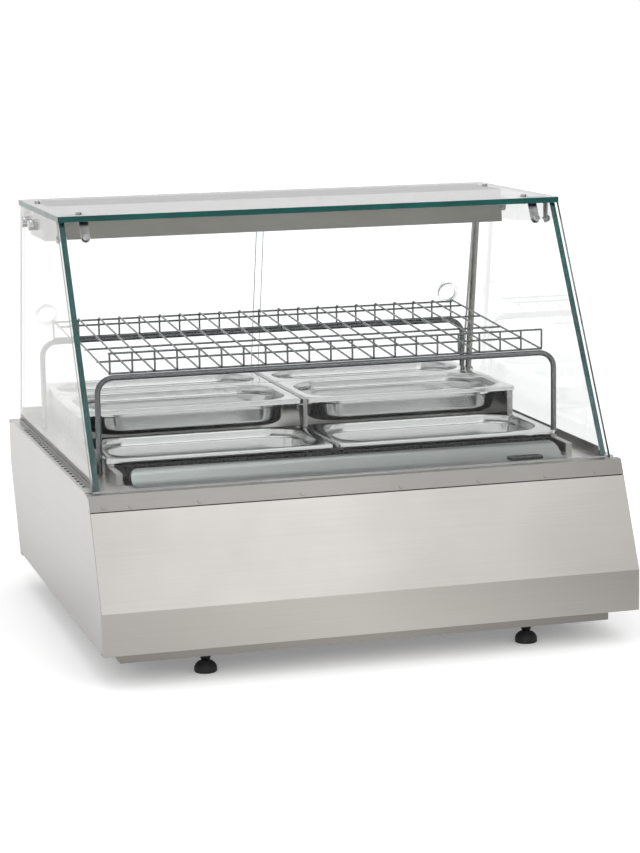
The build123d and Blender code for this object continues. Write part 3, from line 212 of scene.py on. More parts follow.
def tone_group():
    """Two tones of a colour, mixed by a mask."""
    if "Two Tones" in bpy.data.node_groups:
        return bpy.data.node_groups["Two Tones"]
    group, start, end = new_group(
        "Two Tones",
        [("Mask", "NodeSocketFloat", 0.5), ("Dark", "NodeSocketColor", (0.4, 0.4, 0.4, 1)),
         ("Light", "NodeSocketColor", (0.6, 0.6, 0.6, 1))],
        [("Color", "NodeSocketColor")])
    mix = group.nodes.new("ShaderNodeMix")
    mix.data_type = "RGBA"
    group.links.new(start.outputs["Mask"], mix.inputs[MIX_FACTOR])
    group.links.new(start.outputs["Dark"], mix.inputs[MIX_A])
    group.links.new(start.outputs["Light"], mix.inputs[MIX_B])
    group.links.new(mix.outputs[MIX_COLOR], end.inputs["Color"])
    return group


def wear_group():
    """Rubbed edges as a mask from the surface's pointiness."""
    if "Edge Wear" in bpy.data.node_groups:
        return bpy.data.node_groups["Edge Wear"]
    group, start, end = new_group(
        "Edge Wear", [("Amount", "NodeSocketFloat", 0.5)], [("Mask", "NodeSocketFloat")])
    nodes, links = group.nodes, group.links
    shape = nodes.new("ShaderNodeNewGeometry")
    edge = nodes.new("ShaderNodeMapRange")
    edge.inputs["From Min"].default_value = 0.52
    edge.inputs["From Max"].default_value = 0.62
    scale = nodes.new("ShaderNodeMath")
    scale.operation = "MULTIPLY"
    links.new(shape.outputs["Pointiness"], edge.inputs["Value"])
    links.new(edge.outputs["Result"], scale.inputs[0])
    links.new(start.outputs["Amount"], scale.inputs[1])
    links.new(scale.outputs[0], end.inputs["Mask"])
    return group


def place_group(tree, group, **values):
    node = tree.nodes.new("ShaderNodeGroup")
    node.node_tree = group
    for name, value in values.items():
        node.inputs[name].default_value = value
    return node


def shade(color, factor):
    """The colour made lighter or darker by a factor, as RGBA."""
    return (*[min(1.0, channel * factor) for channel in color], 1.0)


def new_material(name, color, metallic=0.0, roughness=0.5):
    material = bpy.data.materials.new(name)
    material.use_nodes = True
    surface = material.node_tree.nodes["Principled BSDF"]
    surface.inputs["Base Color"].default_value = (*color, 1.0)
    surface.inputs["Metallic"].default_value = metallic
    surface.inputs["Roughness"].default_value = roughness
    return material, surface


def metal(name, color, grain, strength, rough, contrast=0.08, metallic=1.0):
    """Brushed or satin metal: grain direction by scale, tone and roughness varied over the surface."""
    name = f"case_{name}"
    if name in bpy.data.materials:
        return bpy.data.materials[name]
    material, surface = new_material(name, color, metallic)
    tree = material.node_tree
    scratches = place_group(tree, grain_group(), Scale=grain, Strength=strength)
    tones = place_group(tree, tone_group(), Dark=shade(color, 1 - contrast), Light=shade(color, 1 + contrast))
    marks = place_group(tree, smudge_group(), Scale=4.0, Low=rough[0], High=rough[1])
    tree.links.new(scratches.outputs["Mask"], tones.inputs["Mask"])
    tree.links.new(tones.outputs["Color"], surface.inputs["Base Color"])
    tree.links.new(marks.outputs["Value"], surface.inputs["Roughness"])
    tree.links.new(scratches.outputs["Normal"], surface.inputs["Normal"])
    return material


def plastic(name, color, rough, speckle=400.0, strength=0.15, wear=0.25):
    """Moulded plastic or paint: fine texture, wiping marks and rubbed edges."""
    name = f"case_{name}"
    if name in bpy.data.materials:
        return bpy.data.materials[name]
    material, surface = new_material(name, color)
    tree = material.node_tree
    texture = place_group(tree, grain_group(), Scale=(speckle, speckle, speckle), Strength=strength)
    worn = place_group(tree, wear_group(), Amount=wear)
    rubbed = shade([channel + WORN_LIFT for channel in color], WORN_GAIN)
    tones = place_group(tree, tone_group(), Dark=(*color, 1.0), Light=rubbed)
    marks = place_group(tree, smudge_group(), Scale=9.0, Low=rough[0], High=rough[1])
    tree.links.new(worn.outputs["Mask"], tones.inputs["Mask"])
    tree.links.new(tones.outputs["Color"], surface.inputs["Base Color"])
    tree.links.new(marks.outputs["Value"], surface.inputs["Roughness"])
    tree.links.new(texture.outputs["Normal"], surface.inputs["Normal"])
    return material


def clear_glass(name, ior):
    """Float glass of a pane, with faint wiping marks; a low ior mirrors less of the room."""
    if name in bpy.data.materials:
        return bpy.data.materials[name]
    material, surface = new_material(name, finish().glass_tint, 0.0, 0.0)
    surface.inputs["Transmission Weight"].default_value = 1.0
    surface.inputs["IOR"].default_value = ior
    tree = material.node_tree
    marks = place_group(tree, smudge_group(), Scale=7.0, Low=0.0, High=0.01)
    tree.links.new(marks.outputs["Value"], surface.inputs["Roughness"])
    path = tree.nodes.new("ShaderNodeLightPath")
    clear = tree.nodes.new("ShaderNodeBsdfTransparent")
    blend = tree.nodes.new("ShaderNodeMixShader")
    tree.links.new(path.outputs["Is Shadow Ray"], blend.inputs["Fac"])
    tree.links.new(surface.outputs["BSDF"], blend.inputs[1])
    tree.links.new(clear.outputs["BSDF"], blend.inputs[2])
    tree.links.new(blend.outputs["Shader"], tree.nodes["Material Output"].inputs["Surface"])
    return material


def edge_glass():
    """Ground edge of the panes: deep green that pales in streaks."""
    if "edge_glass" in bpy.data.materials:
        return bpy.data.materials["edge_glass"]
    color = finish().glass_edge
    material, surface = new_material("edge_glass", color, 0.0, 0.12)
    surface.inputs["Coat Weight"].default_value = 0.15
    surface.inputs["Coat Roughness"].default_value = 0.05
    tree = material.node_tree
    streaks = place_group(tree, smudge_group(), Scale=14.0, Low=0.0, High=1.0)
    tones = place_group(tree, tone_group(), Dark=shade(color, 0.7), Light=shade(color, 1.35))
    rough = place_group(tree, smudge_group(), Scale=60.0, Low=0.08, High=0.22)
    tree.links.new(streaks.outputs["Value"], tones.inputs["Mask"])
    tree.links.new(tones.outputs["Color"], surface.inputs["Base Color"])
    tree.links.new(rough.outputs["Value"], surface.inputs["Roughness"])
    return material


GLASS_IOR = 1.5
DIM_GLASS_IOR = 1.2
PULL_IOR = 1.35
ALONG_X = (5.0, 1400.0, 1400.0)
ALONG_Y = (1400.0, 5.0, 1400.0)
EVEN = (260.0, 260.0, 260.0)
FINE = (1500.0, 1500.0, 1500.0)


def stainless():
    return metal("stainless_front", finish().stainless, ALONG_X, 0.10, (0.27, 0.36))


def side_stainless_painted_lighter():
    # Painted light: the same brushed stainless, painted lighter for the light that falls on the side walls.
    return metal("stainless_side", finish().side_steel_painted_lighter, ALONG_Y, 0.10, (0.30, 0.38))


def pan_steel():
    return metal("pan_steel", finish().pan_steel, FINE, 0.01, (0.11, 0.19), 0.04)


def rail_steel():
    return metal("rail_steel", (0.33, 0.33, 0.325), ALONG_Y, 0.06, (0.25, 0.34))


def bright_steel():
    return metal("bright_steel", (0.60, 0.60, 0.60), FINE, 0.01, (0.10, 0.18), 0.03)


def wire_steel():
    return metal("wire_steel", finish().wire_steel, FINE, 0.01, (0.18, 0.28), 0.06)


def lamp_grey():
    return metal("lamp_grey", finish().lamp_grey, ALONG_X, 0.06, (0.34, 0.45), 0.06, 0.55)


# Mesh helpers

MERGE_DISTANCE = 1e-6
FLAT_ANGLE = 0.5
EDGE_ANGLE = 40


def link(mesh, name, material_list):
    """New object at the origin with these materials."""
    mesh.materials.clear()
    for material in material_list:
        mesh.materials.append(material)
    piece = bpy.data.objects.new(name, mesh)
    bpy.context.scene.collection.objects.link(piece)
    return piece


def apply_modifiers(piece):
    """Turn the piece's modifiers into plain mesh."""
    graph = bpy.context.evaluated_depsgraph_get()
    graph.update()
    mesh = bpy.data.meshes.new_from_object(piece.evaluated_get(graph))
    piece.modifiers.clear()
    old = piece.data
    piece.data = mesh
    bpy.data.meshes.remove(old)
    return mesh


def smooth(mesh, angle=30):
    mesh.shade_smooth()
    mesh.set_sharp_from_angle(angle=radians(angle))


def settle(piece, *nodes):
    """The piece stands for the nodes: it hides them and rides their body."""
    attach(piece, BODY_OF[nodes[0]])
    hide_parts(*nodes)


def skin_of(node, material_list, bevel, side_test=None, flat=False):
    """Merged copy of a node's mesh with rounded edges; side_test picks faces for the second material."""
    mesh = frame["nodes"][node].data.copy()
    work = bmesh.new()
    work.from_mesh(mesh)
    bmesh.ops.remove_doubles(work, verts=work.verts, dist=MERGE_DISTANCE)
    bmesh.ops.dissolve_limit(work, angle_limit=radians(FLAT_ANGLE), verts=work.verts, edges=work.edges)
    work.to_mesh(mesh)
    work.free()
    piece = link(mesh, f"{node}_skin", material_list)
    if side_test:
        for polygon in mesh.polygons:
            polygon.material_index = 1 if side_test(polygon.normal) else 0
    if bevel:
        rounding = piece.modifiers.new("Rounding", "BEVEL")
        rounding.width = bevel
        rounding.segments = 2
        rounding.limit_method = "ANGLE"
        rounding.angle_limit = radians(EDGE_ANGLE)
        rounding.use_clamp_overlap = True
        rounding.harden_normals = not flat
        smooth(mesh)
        apply_modifiers(piece)
    else:
        smooth(piece.data)
    if flat:
        piece.data.shade_flat()
    settle(piece, node)
    return piece


def paint(node, material):
    """Give a carried-over node its finish."""
    mesh = frame["nodes"][node].data
    mesh.materials.clear()
    mesh.materials.append(material)


# Geometry Nodes

BEND_STEPS = 7
WIRE_BEND = 0.004
TUBE_BEND = 0.022
TUBE_SIDES = 20
TUBE_SETBACK = 0.001


def wire_tree():
    """A bent wire along the base line, repeated along a row."""
    if "Wire Row" in bpy.data.node_groups:
        return bpy.data.node_groups["Wire Row"]
    tree = bpy.data.node_groups.new("Wire Row", "GeometryNodeTree")
    face = tree.interface
    face.new_socket("Route", in_out="INPUT", socket_type="NodeSocketGeometry")
    for name, kind, default in (("Radius", "NodeSocketFloat", 0.0015), ("Bend", "NodeSocketFloat", 0.004),
                                ("Sides", "NodeSocketInt", 10), ("Count", "NodeSocketInt", 1),
                                ("Start", "NodeSocketVector", (0, 0, 0)),
                                ("Step", "NodeSocketVector", (0, 0, 0))):
        face.new_socket(name, in_out="INPUT", socket_type=kind).default_value = default
    face.new_socket("Material", in_out="INPUT", socket_type="NodeSocketMaterial")
    face.new_socket("Wires", in_out="OUTPUT", socket_type="NodeSocketGeometry")
    nodes, links = tree.nodes, tree.links
    start = nodes.new("NodeGroupInput")
    end = nodes.new("NodeGroupOutput")
    to_curve = nodes.new("GeometryNodeMeshToCurve")
    bend = nodes.new("GeometryNodeFilletCurve")
    bend.mode = "POLY"
    bend.inputs["Count"].default_value = BEND_STEPS
    profile = nodes.new("GeometryNodeCurvePrimitiveCircle")
    sweep = nodes.new("GeometryNodeCurveToMesh")
    sweep.inputs["Fill Caps"].default_value = True
    row = nodes.new("GeometryNodeMeshLine")
    row.mode = "OFFSET"
    place = nodes.new("GeometryNodeInstanceOnPoints")
    real = nodes.new("GeometryNodeRealizeInstances")
    paint_node = nodes.new("GeometryNodeSetMaterial")
    links.new(start.outputs["Route"], to_curve.inputs["Mesh"])
    links.new(to_curve.outputs["Curve"], bend.inputs["Curve"])
    links.new(start.outputs["Bend"], bend.inputs["Radius"])
    links.new(start.outputs["Sides"], profile.inputs["Resolution"])
    links.new(start.outputs["Radius"], profile.inputs["Radius"])
    links.new(bend.outputs["Curve"], sweep.inputs["Curve"])
    links.new(profile.outputs["Curve"], sweep.inputs["Profile Curve"])
    links.new(start.outputs["Count"], row.inputs["Count"])
    links.new(start.outputs["Start"], row.inputs["Start Location"])
    links.new(start.outputs["Step"], row.inputs["Offset"])
    links.new(row.outputs["Mesh"], place.inputs["Points"])
    links.new(sweep.outputs["Mesh"], place.inputs["Instance"])
    links.new(place.outputs["Instances"], real.inputs["Geometry"])
    links.new(real.outputs["Geometry"], paint_node.inputs["Geometry"])
    links.new(start.outputs["Material"], paint_node.inputs["Material"])
    links.new(paint_node.outputs["Geometry"], end.inputs["Wires"])
    return tree


def wire_row(name, points, material, **values):
    """Plain mesh of a bent wire through the points, repeated as the tree's inputs say."""
    mesh = bpy.data.meshes.new(name)
    mesh.from_pydata(points, [(i, i + 1) for i in range(len(points) - 1)], [])
    piece = link(mesh, name, [material])
    tree = wire_tree()
    modifier = piece.modifiers.new("Wires", "NODES")
    modifier.node_group = tree
    sockets = {item.name: item.identifier for item in tree.interface.items_tree if item.in_out == "INPUT"}
    for key, value in values.items():
        modifier[sockets[key]] = value
    modifier[sockets["Material"]] = material
    mesh = apply_modifiers(piece)
    mesh.materials.clear()
    mesh.materials.append(material)
    for polygon in mesh.polygons:
        polygon.material_index = 0
    return piece


def join(pieces, name):
    """One mesh object out of several."""
    work = bmesh.new()
    for piece in pieces:
        work.from_mesh(piece.data)
    mesh = bpy.data.meshes.new(name)
    work.to_mesh(mesh)
    work.free()
    materials = [slot.material for slot in pieces[0].material_slots]
    for piece in pieces:
        bpy.data.objects.remove(piece)
    return link(mesh, name, materials)


# Pans

CORNER_STEPS = 12
PAN_SHEET = 0.0008
# Black ribs under the front pans' rims: painted shade and painted reflection standing in for the shaded front
# walls of the pans and the ribs mirrored in them.
SHADE_RIBS_RAIL_WIDTH = 0.0094
SHADE_RIBS_BEHIND_RIM = 0.0035
SHADE_RIBS_TOP = 0.0305
SHADE_RIBS_HEIGHT = 0.015
SHADE_RIBS_PITCH = 0.0066
SHADE_RIB_RADIUS = 0.0016
SHADE_RIBS_BAR_RADIUS = 0.002
SHADE_RIBS_BACKING_BARS = 6
SHADE_RIBS_BACKING_BEHIND = 0.003
SHADE_RIBS_BACKING_LIFT = 0.001


def rounded_loop(work, centre, half_length, half_width, radius, height):
    """Ring of vertices along a rounded rectangle."""
    ring = []
    for corner, (sign_x, sign_y) in enumerate(((1, 1), (-1, 1), (-1, -1), (1, -1))):
        for step in range(CORNER_STEPS + 1):
            angle = (corner + step / CORNER_STEPS) * pi / 2
            ring.append(work.verts.new((
                centre[0] + sign_x * (half_length - radius) + radius * cos(angle),
                centre[1] + sign_y * (half_width - radius) + radius * sin(angle), height)))
    return ring


def make_pan(node):
    """Pressed pan with a turned-down rim, stacking step, tapered bowl and rounded floor."""
    low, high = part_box(node)
    centre = ((low[0] + high[0]) / 2, (low[1] + high[1]) / 2)
    half_length = (high[0] - low[0]) / 2
    half_width = (high[1] - low[1]) / 2
    top, bottom = high[2], low[2]
    inset, bowl_radius, floor_round, step_drop = 0.0115 + PAN_SHEET, 0.050, 0.010, 0.012
    skirt, rim_radius = sizes().rim_skirt, 0.005
    profile = [(0.0, skirt, rim_radius), (0.0, 0.0012, rim_radius),
               (0.0004, 0.0003, rim_radius), (0.0012, 0.0, rim_radius),
               (inset - 0.002, 0.0, bowl_radius), (inset - 0.0006, 0.0006, bowl_radius),
               (inset, 0.002, bowl_radius), (inset, step_drop - 0.001, bowl_radius),
               (inset + 0.0006, step_drop, bowl_radius),
               (inset + 0.0022, step_drop + 0.0005, bowl_radius - 0.002),
               (inset + 0.0026, step_drop + 0.0018, bowl_radius - 0.002)]
    depth = top - bottom - PAN_SHEET
    wall_end = inset + 0.0026 + 0.0022
    profile.append((wall_end, depth - floor_round, bowl_radius - 0.004))
    for step in range(1, 6):
        angle = step / 5 * pi / 2
        profile.append((wall_end + floor_round * (1 - cos(angle)), depth - floor_round * (1 - sin(angle)),
                        bowl_radius - 0.004 - floor_round * (1 - cos(angle)) * 0.6))
    work = bmesh.new()
    rings = [rounded_loop(work, centre, half_length - away, half_width - away, radius, top - drop)
             for away, drop, radius in profile]
    for outer, inner in zip(rings, rings[1:]):
        count = len(outer)
        for i in range(count):
            work.faces.new((outer[i], outer[(i + 1) % count], inner[(i + 1) % count], inner[i]))
    work.faces.new(rings[-1])
    bmesh.ops.remove_doubles(work, verts=work.verts, dist=1e-7)
    bmesh.ops.recalc_face_normals(work, faces=work.faces)
    if sum(face.normal.z for face in work.faces if len(face.verts) > 8) < 0:
        bmesh.ops.reverse_faces(work, faces=work.faces)
    mesh = bpy.data.meshes.new(f"{node}_pressing")
    work.to_mesh(mesh)
    work.free()
    piece = link(mesh, f"{node}_pressing", [pan_steel()])
    wall = piece.modifiers.new("Wall", "SOLIDIFY")
    wall.thickness = PAN_SHEET
    wall.offset = -1
    apply_modifiers(piece)
    smooth(piece.data, 35)
    settle(piece, node)
    return piece


class CASE_OT_casing(bpy.types.Operator):
    """Finish the sheet-metal casing, plinth and side walls"""
    bl_idname = "case.casing"
    bl_label = "Casing"

    def execute(self, context):
        for node in CASING_NODES:
            skin_of(node, [stainless()], sizes().edge_round)
        # Painted shade: the trim strip and its screws take the casing stainless painted darker, to 0.64 of
        # it, standing in for the shade on them.
        trim = metal("stainless_trim", shade(finish().stainless, 0.64)[:3], ALONG_X, 0.10, (0.32, 0.40))
        for node in ("front_trim", "trim_screws"):
            skin_of(node, [trim], sizes().fine_round)
        for node in SIDE_NODES:
            skin_of(node, [side_stainless_painted_lighter()], 0)
        for node in PLAIN_SHEET_NODES:
            skin_of(node, [metal("plain_sheet", (0.42, 0.40, 0.375), ALONG_X, 0.08, (0.32, 0.42))], 0)
        paint("base_pan", metal("galvanised", (0.45, 0.46, 0.47), EVEN, 0.05, (0.35, 0.5), 0.12))
        duct = metal("duct_steel", finish().duct_steel, ALONG_X, 0.08, (0.30, 0.40))
        skin_of("duct_cover", [duct], 0)
        return {"FINISHED"}


class CASE_OT_glass(bpy.types.Operator):
    """Make the panes and doors with clear faces and green ground edges"""
    bl_idname = "case.glass"
    bl_label = "Glass"

    def execute(self, context):
        for node in PANE_NODES:
            low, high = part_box(node)
            spans = [high[i] - low[i] for i in range(3)]
            if node in ("glass_left", "glass_right"):
                face = Vector((1, 0, 0))
            elif node == "glass_top":
                face = Vector((0, 0, 1))
            else:
                sign = 1 if node == "glass_front" else -1
                face = Vector((0, -spans[2], sign * spans[1])).normalized()
            dim = node == "glass_front" or node.startswith("door")
            pane = clear_glass("dim_glass", DIM_GLASS_IOR) if dim else clear_glass("clear_glass", GLASS_IOR)
            skin_of(node, [pane, edge_glass()], sizes().glass_round,
                    lambda normal, face=face: abs(normal.dot(face)) < 0.9, flat=True)
        for side in ("left", "right"):
            skin_of(f"door_pull_{side}", [clear_glass("clear_plastic", PULL_IOR)], sizes().fine_round)
        return {"FINISHED"}


class CASE_OT_rails(bpy.types.Operator):
    """Finish the channels, tracks, rails and brackets"""
    bl_idname = "case.rails"
    bl_label = "Rails and channels"

    def execute(self, context):
        for node in RAIL_NODES:
            skin_of(node, [rail_steel()], sizes().fine_round)
        skin_of("glass_fixings", [bright_steel()], sizes().fine_round)
        conduit = metal("conduit_steel", (0.24, 0.23, 0.215), FINE, 0.01, (0.2, 0.3))
        skin_of("lamp_conduit", [conduit], sizes().fine_round)
        return {"FINISHED"}


class CASE_OT_pans(bpy.types.Operator):
    """Press the six food pans"""
    bl_idname = "case.pans"
    bl_label = "Food pans"

    def execute(self, context):
        for node in PAN_NODES:
            make_pan(node)
        return {"FINISHED"}


class CASE_OT_shade_ribs(bpy.types.Operator):
    """Hang black ribs between the rails under the front pans' rims: painted shade and painted reflection
    standing in for the pans' shaded front walls and the ribs mirrored in them
    """
    bl_idname = "case.grille"
    bl_label = "Painted shade ribs"

    def execute(self, context):
        rail_low, rail_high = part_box("pan_rails")
        pan_low, pan_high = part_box("pan_front_left")
        reach = rail_high[0] - SHADE_RIBS_RAIL_WIDTH
        # Painted shade: near-black for the ribs and bars that stand in for the shaded, ribbed-looking front
        # walls of the pans.
        shade_ribs_black = plastic("black_grille", (0.012, 0.012, 0.013), (0.35, 0.5))
        place = pan_low[1] + SHADE_RIBS_BEHIND_RIM
        top = pan_low[2] + SHADE_RIBS_TOP
        foot = top - SHADE_RIBS_HEIGHT
        count = int(2 * reach / SHADE_RIBS_PITCH)
        rows = [wire_row("shade_ribs_uprights", [(0, place, foot), (0, place, top)], shade_ribs_black,
                         Radius=SHADE_RIB_RADIUS, Bend=0.0,
                         Count=count, Start=(-(count - 1) * SHADE_RIBS_PITCH / 2, 0, 0),
                         Step=(SHADE_RIBS_PITCH, 0, 0))]
        span = [(-reach, 0, 0), (reach, 0, 0)]
        for height in (foot, top - SHADE_RIBS_BAR_RADIUS):
            rows.append(wire_row("shade_ribs_bar", span, shade_ribs_black, Radius=SHADE_RIBS_BAR_RADIUS, Bend=0.0, Count=1,
                                 Start=(0, place + SHADE_RIBS_BAR_RADIUS, height)))
        backing_pitch = (SHADE_RIBS_HEIGHT - SHADE_RIBS_BACKING_BEHIND) / (SHADE_RIBS_BACKING_BARS - 1)
        rows.append(wire_row("shade_ribs_backing", span, shade_ribs_black, Radius=SHADE_RIBS_HEIGHT / (2 * SHADE_RIBS_BACKING_BARS),
                             Bend=0.0, Count=SHADE_RIBS_BACKING_BARS,
                             Start=(0, place + SHADE_RIBS_BACKING_BEHIND, foot + SHADE_RIBS_BACKING_LIFT),
                             Step=(0, 0, backing_pitch)))
        shade_ribs_piece = join(rows, "painted_shade_ribs_sheet")
        smooth(shade_ribs_piece.data, 40)
        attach(shade_ribs_piece, BODY_OF["pan_rails"])
        return {"FINISHED"}


class CASE_OT_shelf(bpy.types.Operator):
    """Weld up the wire shelf and bend its two frames"""
    bl_idname = "case.shelf"
    bl_label = "Wire shelf"

    def execute(self, context):
        radius = sizes().wire_radius
        low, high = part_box("shelf_mesh")
        count = sizes().wire_count
        left, right = low[0] + radius, high[0] - radius
        front, rear = low[1] + radius, high[1] - radius
        foot, top = low[2] + radius, high[2] - radius
        route = [(0, front, top), (0, front, foot), (0, rear, top), (0, rear, foot)]
        steel = wire_steel()
        rows = [wire_row("depth_wires", route, steel, Radius=radius, Bend=WIRE_BEND, Count=count,
                         Start=(left, 0, 0), Step=((right - left) / (count - 1), 0, 0))]
        rise = (top - foot) / (rear - front)
        span = [(left - radius, 0, 0), (right + radius, 0, 0)]
        crosses = int((rear - front) / sizes().cross_pitch)
        rows.append(wire_row(
            "cross_wires", span, steel, Radius=radius, Bend=0.0, Count=crosses,
            Start=(0, front + sizes().cross_pitch, foot - radius + rise * sizes().cross_pitch),
            Step=(0, sizes().cross_pitch, rise * sizes().cross_pitch)))
        for name, y, z in (("gallery_rail", front + 2 * radius, top),
                           ("front_rail", front + 2 * radius, foot),
                           ("rear_rail", rear - 2 * radius, top - 2 * radius),
                           ("rear_foot_rail", rear - 2 * radius, foot)):
            rows.append(wire_row(name, span, steel, Radius=radius, Bend=0.0, Count=1, Start=(0, y, z)))
        mesh = join(rows, "shelf_wires")
        smooth(mesh.data, 40)
        settle(mesh, "shelf_mesh")
        tube = sizes().tube_radius
        low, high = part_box("shelf_frames")
        leg = high[0] - TUBE_SETBACK - tube
        bar = high[2] - tube
        route = [(-leg, 0, low[2]), (-leg, 0, bar), (leg, 0, bar), (leg, 0, low[2])]
        edge = TUBE_SETBACK + tube
        frames = wire_row("shelf_tubes", route, steel, Radius=tube, Bend=TUBE_BEND, Sides=TUBE_SIDES, Count=2,
                          Start=(0, low[1] + edge, 0), Step=(0, high[1] - low[1] - 2 * edge, 0))
        smooth(frames.data, 40)
        settle(frames, "shelf_frames")
        return {"FINISHED"}


class CASE_OT_lamp(bpy.types.Operator):
    """Finish the lamp housing, its tube and the thermometer"""
    bl_idname = "case.lamp"
    bl_label = "Lamp and thermometer"

    def execute(self, context):
        skin_of("lamp_housing", [lamp_grey()], sizes().part_round)
        tube = plastic("lamp_tube", (0.86, 0.87, 0.85), (0.25, 0.35), wear=0.0)
        skin_of("lamp_tube", [tube], sizes().part_round)
        display = plastic("dark_display", (0.012, 0.013, 0.015), (0.12, 0.22), wear=0.1)
        skin_of("thermometer", [display], sizes().part_round)
        return {"FINISHED"}


class CASE_OT_feet(bpy.types.Operator):
    """Finish the four levelling feet"""
    bl_idname = "case.feet"
    bl_label = "Feet"

    def execute(self, context):
        for place in FOOT_PLACES:
            rubber = plastic("rubber", (0.012, 0.012, 0.013), (0.45, 0.6))
            skin_of(f"foot_pad_{place}", [rubber], sizes().part_round)
            skin_of(f"foot_stem_{place}", [bright_steel()], sizes().fine_round)
        return {"FINISHED"}


class CASE_OT_cooling(bpy.types.Operator):
    """Finish the cooling unit, insulation and the controls at the back"""
    bl_idname = "case.cooling"
    bl_label = "Cooling unit and controls"

    def execute(self, context):
        for node in BLACK_NODES:
            paint(node, plastic("black_plastic", (0.02, 0.02, 0.022), (0.35, 0.5)))
        for node in ("evaporator", "condenser"):
            paint(node, metal("fin_aluminium", (0.68, 0.69, 0.70), (1400.0, 90.0, 20.0), 0.1, (0.3, 0.45)))
        paint("condenser_shroud", metal("shroud_steel", (0.4, 0.41, 0.42), EVEN, 0.05, (0.35, 0.5), 0.12))
        paint("compressor", plastic("compressor_paint", (0.018, 0.018, 0.02), (0.25, 0.4), 120.0, 0.3))
        paint("pipework", metal("copper_tube", (0.62, 0.30, 0.18), ALONG_X, 0.03, (0.2, 0.4), 0.15))
        paint("insulation", plastic("foam", (0.62, 0.52, 0.30), (0.8, 0.95), 90.0, 0.5, 0.1))
        return {"FINISHED"}


# Stage: the camera is the fitted view of the photograph

CAMERA_PLACE = (-0.9616, -3.4449, 0.8866)
CAMERA_YAW, CAMERA_PITCH, CAMERA_ROLL = -0.279, -0.171, 0.017
FOCAL_PIXELS = 2462.6
IMAGE_WIDTH = 640
SENSOR = 36.0
FLOOR_TONES = ((0.18, 0.74), (0.31, 0.40), (0.53, 0.68), (0.80, 0.20))
FLOOR_WARMTH = (1.0, 0.985, 0.96)
FLOOR_SPAN = 1.0
FLOOR_REACH = 14.0
FLOOR_WHITE = (0.99, 0.99, 0.99)
FLOOR_GLOW = 0.18
DARK_CARD_GREY = (0.30, 0.295, 0.285)
DARK_CARD = ((2.3, -8.0, 0.02), (2.3, 0.6, 0.02), (2.3, 0.6, 5.0), (2.3, -8.0, 5.0))
WHITE_CARD_GREY = (0.5, 0.5, 0.5)
WHITE_CARD_GLOW = 0.3
WHITE_CARD = ((-6, 6, 1.0), (9, 6, 1.0), (9, 6, 6.0), (-6, 6, 6.0))
GLOSSY_WORLD = 0.68
SOFTBOXES = (("front_softbox", (0.75, -2.3, 1.9), (-0.05, -0.3, 0.2), (1.5, 1.3), 5.2),
             ("top_softbox", (-0.4, 0.2, 2.6), (0, 0, 0.2), (1.6, 1.2), 6))


def mirror_mask(tree):
    """1 for a ray mirrored off a surface, 0 for one from the camera or through glass."""
    path = tree.nodes.new("ShaderNodeLightPath")
    mirrored = tree.nodes.new("ShaderNodeMath")
    mirrored.operation = "SUBTRACT"
    mirrored.use_clamp = True
    tree.links.new(path.outputs["Is Glossy Ray"], mirrored.inputs[0])
    tree.links.new(path.outputs["Is Transmission Ray"], mirrored.inputs[1])
    return mirrored.outputs[0]


def floor_reflection(tree):
    """Tone that the floor lends to the steel, from left to right."""
    coords = tree.nodes.new("ShaderNodeTexCoord")
    split = tree.nodes.new("ShaderNodeSeparateXYZ")
    across = tree.nodes.new("ShaderNodeMapRange")
    across.inputs["From Min"].default_value = -FLOOR_SPAN
    across.inputs["From Max"].default_value = FLOOR_SPAN
    ramp = tree.nodes.new("ShaderNodeValToRGB")
    for place, tone in FLOOR_TONES[1:-1]:
        ramp.color_ramp.elements.new(place)
    for element, (place, tone) in zip(ramp.color_ramp.elements, FLOOR_TONES):
        element.position = place
        element.color = (*[tone * warmth for warmth in FLOOR_WARMTH], 1)
    tree.links.new(coords.outputs["Object"], split.inputs["Vector"])
    tree.links.new(split.outputs["X"], across.inputs["Value"])
    tree.links.new(across.outputs["Result"], ramp.inputs["Fac"])
    return ramp.outputs["Color"]


def area_light(name, place, target, size, power):
    """Rectangular softbox aimed at a point."""
    lamp = bpy.data.lights.new(name, "AREA")
    lamp.shape = "RECTANGLE"
    lamp.size, lamp.size_y = size
    lamp.energy = power
    piece = bpy.data.objects.new(name, lamp)
    bpy.context.scene.collection.objects.link(piece)
    piece.location = place
    aim = Vector(target) - Vector(place)
    piece.rotation_euler = aim.to_track_quat("-Z", "Y").to_euler()
    return piece


def glow(surface, strength):
    """White light given off by a stage surface."""
    surface.inputs["Emission Color"].default_value = (1, 1, 1, 1)
    surface.inputs["Emission Strength"].default_value = strength


def stage_sheet(name, corners, material, *hidden_rays):
    """Flat four-cornered sheet of the stage, hidden from the named kinds of ray."""
    mesh = bpy.data.meshes.new(name)
    mesh.from_pydata(corners, [], [(0, 1, 2, 3)])
    piece = link(mesh, name, [material])
    for ray in hidden_rays:
        setattr(piece, f"visible_{ray}", False)


def place_camera(scene):
    lens = bpy.data.cameras.new("photo_camera")
    lens.sensor_fit = "HORIZONTAL"
    lens.sensor_width = SENSOR
    lens.lens = SENSOR * FOCAL_PIXELS / IMAGE_WIDTH
    lens.clip_end = 100
    camera = bpy.data.objects.new("photo_camera", lens)
    scene.collection.objects.link(camera)
    turn = (Matrix.Rotation(CAMERA_YAW, 4, "Z") @ Matrix.Rotation(CAMERA_PITCH, 4, "X")
            @ Matrix.Rotation(CAMERA_ROLL, 4, "Y") @ Matrix.Rotation(pi / 2, 4, "X"))
    camera.matrix_world = Matrix.Translation(CAMERA_PLACE) @ turn
    scene.camera = camera


